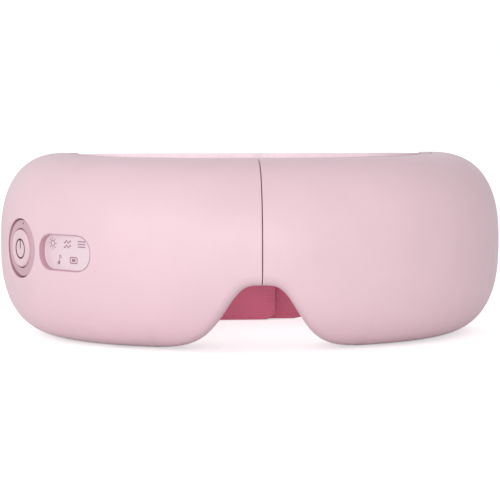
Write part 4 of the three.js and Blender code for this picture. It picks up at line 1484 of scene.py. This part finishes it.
def strap_section(half, thick):
    """Outline of the webbing: across (mm) and out (mm), with rolled edges and hem grooves."""
    across = np.concatenate([np.linspace(-half + 0.6, -half + 3.4, 9),
                             np.linspace(-half + 4.5, half - 4.5, 23),
                             np.linspace(half - 3.4, half - 0.6, 9)])
    edge = half - np.abs(across)
    groove = 0.22 * np.exp(-((edge - EDGE_SEAM) / 0.28) ** 2)
    roll = 0.1 * np.exp(-((edge - 0.9) / 0.5) ** 2)
    out = thick / 2 - groove + roll
    turn = np.radians(np.linspace(80, -80, 7))
    cap_x = half - 0.6 + 0.6 * np.cos(turn)
    cap_y = (thick / 2) * np.sin(turn)
    upper = np.stack([across, out], 1)
    lower = np.stack([across[::-1], -out[::-1]], 1)
    return np.vstack([upper, np.stack([cap_x, cap_y], 1), lower,
                      np.stack([-cap_x, -cap_y], 1)])


def strap_surface(side, layer, stop, half=STRAP_WIDTH / 2, shift=0.0, trimmed=False):
    """Returns point(arc, across, out), the place on the hanging strap, slightly rippled."""
    line_arc, line, line_normal, line_middle = strap_line(layer, stop)

    def point(arc, across, out):
        arc, across, out = np.broadcast_arrays(arc, across, out)
        x, y = (np.interp(arc, line_arc, line[:, k]) for k in (0, 1))
        nx, ny = (np.interp(arc, line_arc, line_normal[:, k]) for k in (0, 1))
        free = smooth(arc, 14, 40)
        sway = free * (0.45 * np.sin(arc / 4.1 + 0.6 * side + layer)
                       + 0.35 * np.sin(arc / 9.3 + 1.3 + layer))
        ripple = free * 0.28 * np.sin(arc / 6.2 + 2.0 * side)
        low = np.clip((half - across) / (2 * half), 0, 1)
        z = np.interp(arc, line_arc, line_middle) + across + 0.5 * free
        z = z + sway * (0.15 + 0.85 * low) - LOWER_EDGE_SAG * smooth(arc, 40, 62) * low
        if trimmed:
            corner = np.clip(1 - (line_arc[-1] - arc) / TAIL_CORNER, 0, 1) ** 2 * TAIL_TRIM
            z = z - corner * np.clip(across / half, -1, 1)
        push = shift + out + ripple * (low - 0.4)
        return np.stack([x + nx * push, y + ny * push, np.maximum(z, FLOOR_GAP)], axis=-1)

    return point


def strap_piece(name, side, layer, stop, first, last, look="strap", half=STRAP_WIDTH / 2,
                thick=STRAP_THICK, shift=0.0, cad=(), slot="strap", trimmed=False):
    """A length of strap between two arc positions along its centre line."""
    arc, p, normal, middle = strap_line(layer, stop)
    keep = (arc >= first - 1e-6) & (arc <= last + 1e-6)
    arc, p, middle = arc[keep], p[keep] + normal[keep] * shift, middle[keep]
    across, out = strap_section(half, thick).T
    point = strap_surface(side, layer, stop, half, shift, trimmed)
    grid = point(arc[:, None], across[None], out[None])
    skin = Skin()
    index = skin.add(grid)
    skin.quads(np.concatenate([index, index[:, :1]], axis=1))
    skin.fan(index[0])
    skin.fan(index[-1][::-1])
    obj = skin.build(name, look, side=side, weld=0.0005, sharp=60, cad=cad, slot=slot)
    uv = obj.data.uv_layers.new(name="UVMap")
    co = np.array([v.co for v in obj.data.vertices]) / MM
    co[:, 1] -= CAD_BOX[0].y / MM
    co[:, 0] *= side
    gap = ((co[:, None, 0] - p[None, :, 0]) ** 2 + (co[:, None, 1] - p[None, :, 1]) ** 2)
    nearest = gap.argmin(1)
    for loop in obj.data.loops:
        v = loop.vertex_index
        uv.data[loop.index].uv = (arc[nearest[v]], co[v, 2] - middle[nearest[v]])
    return obj


def strap_arc_at(layer, stop, x):
    """Arc position where the centre line passes a half-width x (negative past the middle)."""
    arc, p, _, _ = strap_line(layer, stop)
    behind = p[:, 1] > SLOT_Y + 0.5
    return float(arc[behind][np.argmin(abs(p[behind][:, 0] - x))])


def add_stitch(skin, point, start, stop, face):
    """One thread stitch between two (arc, across) places, half sunk in one face of the strap."""
    start, stop = np.array(start), np.array(stop)
    along = (stop - start) / np.linalg.norm(stop - start)
    beside = np.array([-along[1], along[0]])
    rings = []
    for share, swell_share in ((0, 0.05), (0.12, 0.75), (0.5, 1), (0.88, 0.75), (1, 0.05)):
        middle = start + (stop - start) * share
        turn = np.linspace(0, 2 * math.pi, 7)[:-1]
        radius = STITCH_RADIUS * swell_share
        spots = middle + np.outer(radius * np.cos(turn), beside)
        lift = STRAP_THICK / 2 + radius * np.sin(turn)
        rings.append(point(spots[:, 0], spots[:, 1], face * lift))
    skin.tube(rings)


def stitching(name, side, layer, stop, rows, trimmed):
    """Rows of stitches, each from one (arc, across) place to another, on one face or both."""
    point = strap_surface(side, layer, stop, trimmed=trimmed)
    skin = Skin()
    for start, end, faces in rows:
        start, end = np.array(start, float), np.array(end, float)
        count = max(1, int(np.linalg.norm(end - start) / STITCH_PITCH))
        for k in range(count):
            a = start + (end - start) * k / count
            b = a + (end - start) / count * (STITCH / STITCH_PITCH)
            for face in faces:
                add_stitch(skin, point, a, b, face)
    return skin.build(name, "thread", side=side, weld=0.0005, sharp=80, slot="strap")


def edge_rows(first, last):
    edge = STRAP_WIDTH / 2 - EDGE_SEAM
    return [((first + 1, c), (last - 1, c), (1, -1)) for c in (-edge, edge)]


def strap(side, layer, stop, lap):
    """One strap arm from its slot and its lapped end, sewn along both edges."""
    word = side_word(side)
    arc = strap_line(layer, stop)[0]
    split = float(arc[np.argmin(abs(arc - strap_arc_at(layer, stop, SPLIT_X)))])
    end = float(arc[-1])
    arm = strap_piece(f"{word}_strap_arm", side, layer, stop, 0, split,
                      cad=[f"strap_{word}_arm", f"strap_{word}_root"])
    arm_thread = stitching(f"{word}_strap_arm_stitching", side, layer, stop,
                           edge_rows(8, split), False)
    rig.sheet(arm, flat=(STRAP_WIDTH * MM, split * MM), held="stretched",
             rests_on=[f"{word}_strap_clamp"], with_pieces=[arm_thread])
    for piece in (arm, arm_thread):
        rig.blend(piece, f"{word}_half", f"{word}_strap", place(side * STRAP_X, SLOT_Y, 0),
                 place(side * ARM_BLEND_STOP[0], ARM_BLEND_STOP[1], 0))
    tail = strap_piece(f"{word}_strap_end", side, layer, stop, split, end,
                       cad=[f"strap_{word}_end"], trimmed=True)
    rows = edge_rows(split, end - TAIL_CORNER)
    if side > 0:
        middle = strap_arc_at(layer, stop, 0)
        half, up = PATCH_HALF
        corners = [(middle - half, -up), (middle - half, up), (middle + half, up),
                   (middle + half, -up)]
        rows += [(corners[k], corners[(k + 1) % 4], (1,)) for k in range(4)]
        hem = end - HEM
        rows.append(((hem, -14.5), (hem, 14.5), (1, -1)))
    tail_thread = stitching(f"{word}_strap_end_stitching", side, layer, stop, rows, True)
    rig.sheet(tail, flat=(STRAP_WIDTH * MM, (end - split) * MM), held="stretched",
             rests_on=[f"{word}_strap_arm"], with_pieces=[tail_thread])
    for piece in (tail, tail_thread):
        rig.blend(piece, f"{word}_strap", f"{word}_strap_end",
                 place(side * (lap + LAP_BLEND), STRAP_BACK, 0),
                 place(side * lap, STRAP_BACK, 0))


strap(-1, LAYER_INNER, LEFT_STOP, LEFT_LAP)
strap(1, LAYER_OUTER, RIGHT_STOP, RIGHT_LAP)


def tape(name, side, shift, cad, body):
    """A patch of hook or loop tape across the middle of the lap."""
    middle = strap_arc_at(LAYER_INNER, LEFT_STOP, 0.0)
    obj = strap_piece(name, side, LAYER_INNER, LEFT_STOP, middle - TAPE_LENGTH / 2,
                      middle + TAPE_LENGTH / 2, look="hook_and_loop", half=TAPE_HALF,
                      thick=TAPE_THICK, shift=shift, cad=cad, slot="hook_and_loop")
    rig.sheet(obj, flat=(2 * TAPE_HALF * MM, TAPE_LENGTH * MM), held="laid",
             rests_on=["left_strap_end"])
    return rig.ride(obj, body)


tape("hook_tape", -1, 1.3, ["hook_patch"], "left_strap_end")
tape("loop_tape", -1, 2.2, ["loop_patch"], "right_strap_end")

# ---- Carried-over CAD nodes ----

# The longest name that a CAD material's name starts with decides its look.
look_names = sorted(looks, key=len, reverse=True)
for node in frame["nodes"].values():
    if node.hide_render:
        continue
    for material_slot in node.material_slots:
        old = material_slot.material.name if material_slot.material else ""
        found = next((name for name in look_names if old.startswith(name)), "steel")
        material_slot.material = looks[found]
    bevel_edges(node, 0.15)

# ---- Floor and light ----

FLOOR_TONES = (0.92, 0.94)
FLOOR_GLOW = 0.55
BACKDROP = 1.02
SKY_LEFT = 0.89
SKY_RIGHT = 0.5
LAMP_AIM = (0, 0, 0.03)

scene = bpy.context.scene
scene.view_settings.view_transform = "Standard"

floor_mesh = bpy.data.meshes.new("floor")
bm = bmesh.new()
bmesh.ops.create_grid(bm, x_segments=4, y_segments=4, size=6)
bm.to_mesh(floor_mesh)
bm.free()
floor = bpy.data.objects.new("floor", floor_mesh)
scene.collection.objects.link(floor)
floor.location.z = CAD_BOX[0].z - 0.0001
pale = Nodes("pale_floor")
tone = pale.mottle(pale.noise(3, 2), (1, 1, 1), *FLOOR_TONES)
glow = pale.add("ShaderNodeLightPath")
pale.link(pale.math("MULTIPLY", glow.outputs["Is Camera Ray"], FLOOR_GLOW),
          pale.shader.inputs["Emission Strength"])
floor_mesh.materials.append(pale.finish(tone, 0.9, None, Specular_IOR_Level=0.1,
                                        Emission_Color=(1, 1, 1, 1)))
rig.stage(floor)

world = bpy.data.worlds.new("world")
scene.world = world
world.use_nodes = True
sky = world.node_tree
backdrop = sky.nodes["Background"]
backdrop.inputs["Strength"].default_value = BACKDROP
studio = sky.nodes.new("ShaderNodeBackground")
studio.inputs["Color"].default_value = (1, 0.99, 1, 1)
direction = sky.nodes.new("ShaderNodeTexCoord")
part = sky.nodes.new("ShaderNodeSeparateXYZ")
sky.links.new(direction.outputs["Generated"], part.inputs[0])
slope = sky.nodes.new("ShaderNodeMapRange")
slope.inputs["From Min"].default_value = -1
slope.inputs["From Max"].default_value = 1
slope.inputs["To Min"].default_value = SKY_LEFT
slope.inputs["To Max"].default_value = SKY_RIGHT
sky.links.new(part.outputs[0], slope.inputs["Value"])
sky.links.new(slope.outputs["Result"], studio.inputs["Strength"])
backdrop.inputs["Color"].default_value = (1, 1, 1, 1)
seen = sky.nodes.new("ShaderNodeLightPath")
choose = sky.nodes.new("ShaderNodeMixShader")
sky.links.new(seen.outputs["Is Camera Ray"], choose.inputs[0])
sky.links.new(studio.outputs[0], choose.inputs[1])
sky.links.new(backdrop.outputs[0], choose.inputs[2])
sky.links.new(choose.outputs[0], sky.nodes["World Output"].inputs["Surface"])


def lamp(name, where, size, power):
    data = bpy.data.lights.new(name, "AREA")
    data.shape = "RECTANGLE"
    data.size, data.size_y = size
    data.energy = power
    light = bpy.data.objects.new(name, data)
    scene.collection.objects.link(light)
    aim_at(light, where, LAMP_AIM)


lamp("key", (-0.7, -1.45, 0.3), (1.4, 1.0), 8.3)
lamp("fill", (-0.05, -1.6, 0.16), (0.5, 0.3), 3)

# ---- Size ----

bpy.context.view_layer.update()
with open("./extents.json", "w") as f:
    json.dump({"cad": [list(v) for v in CAD_BOX], "visual": [list(v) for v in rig.bounds()]}, f)
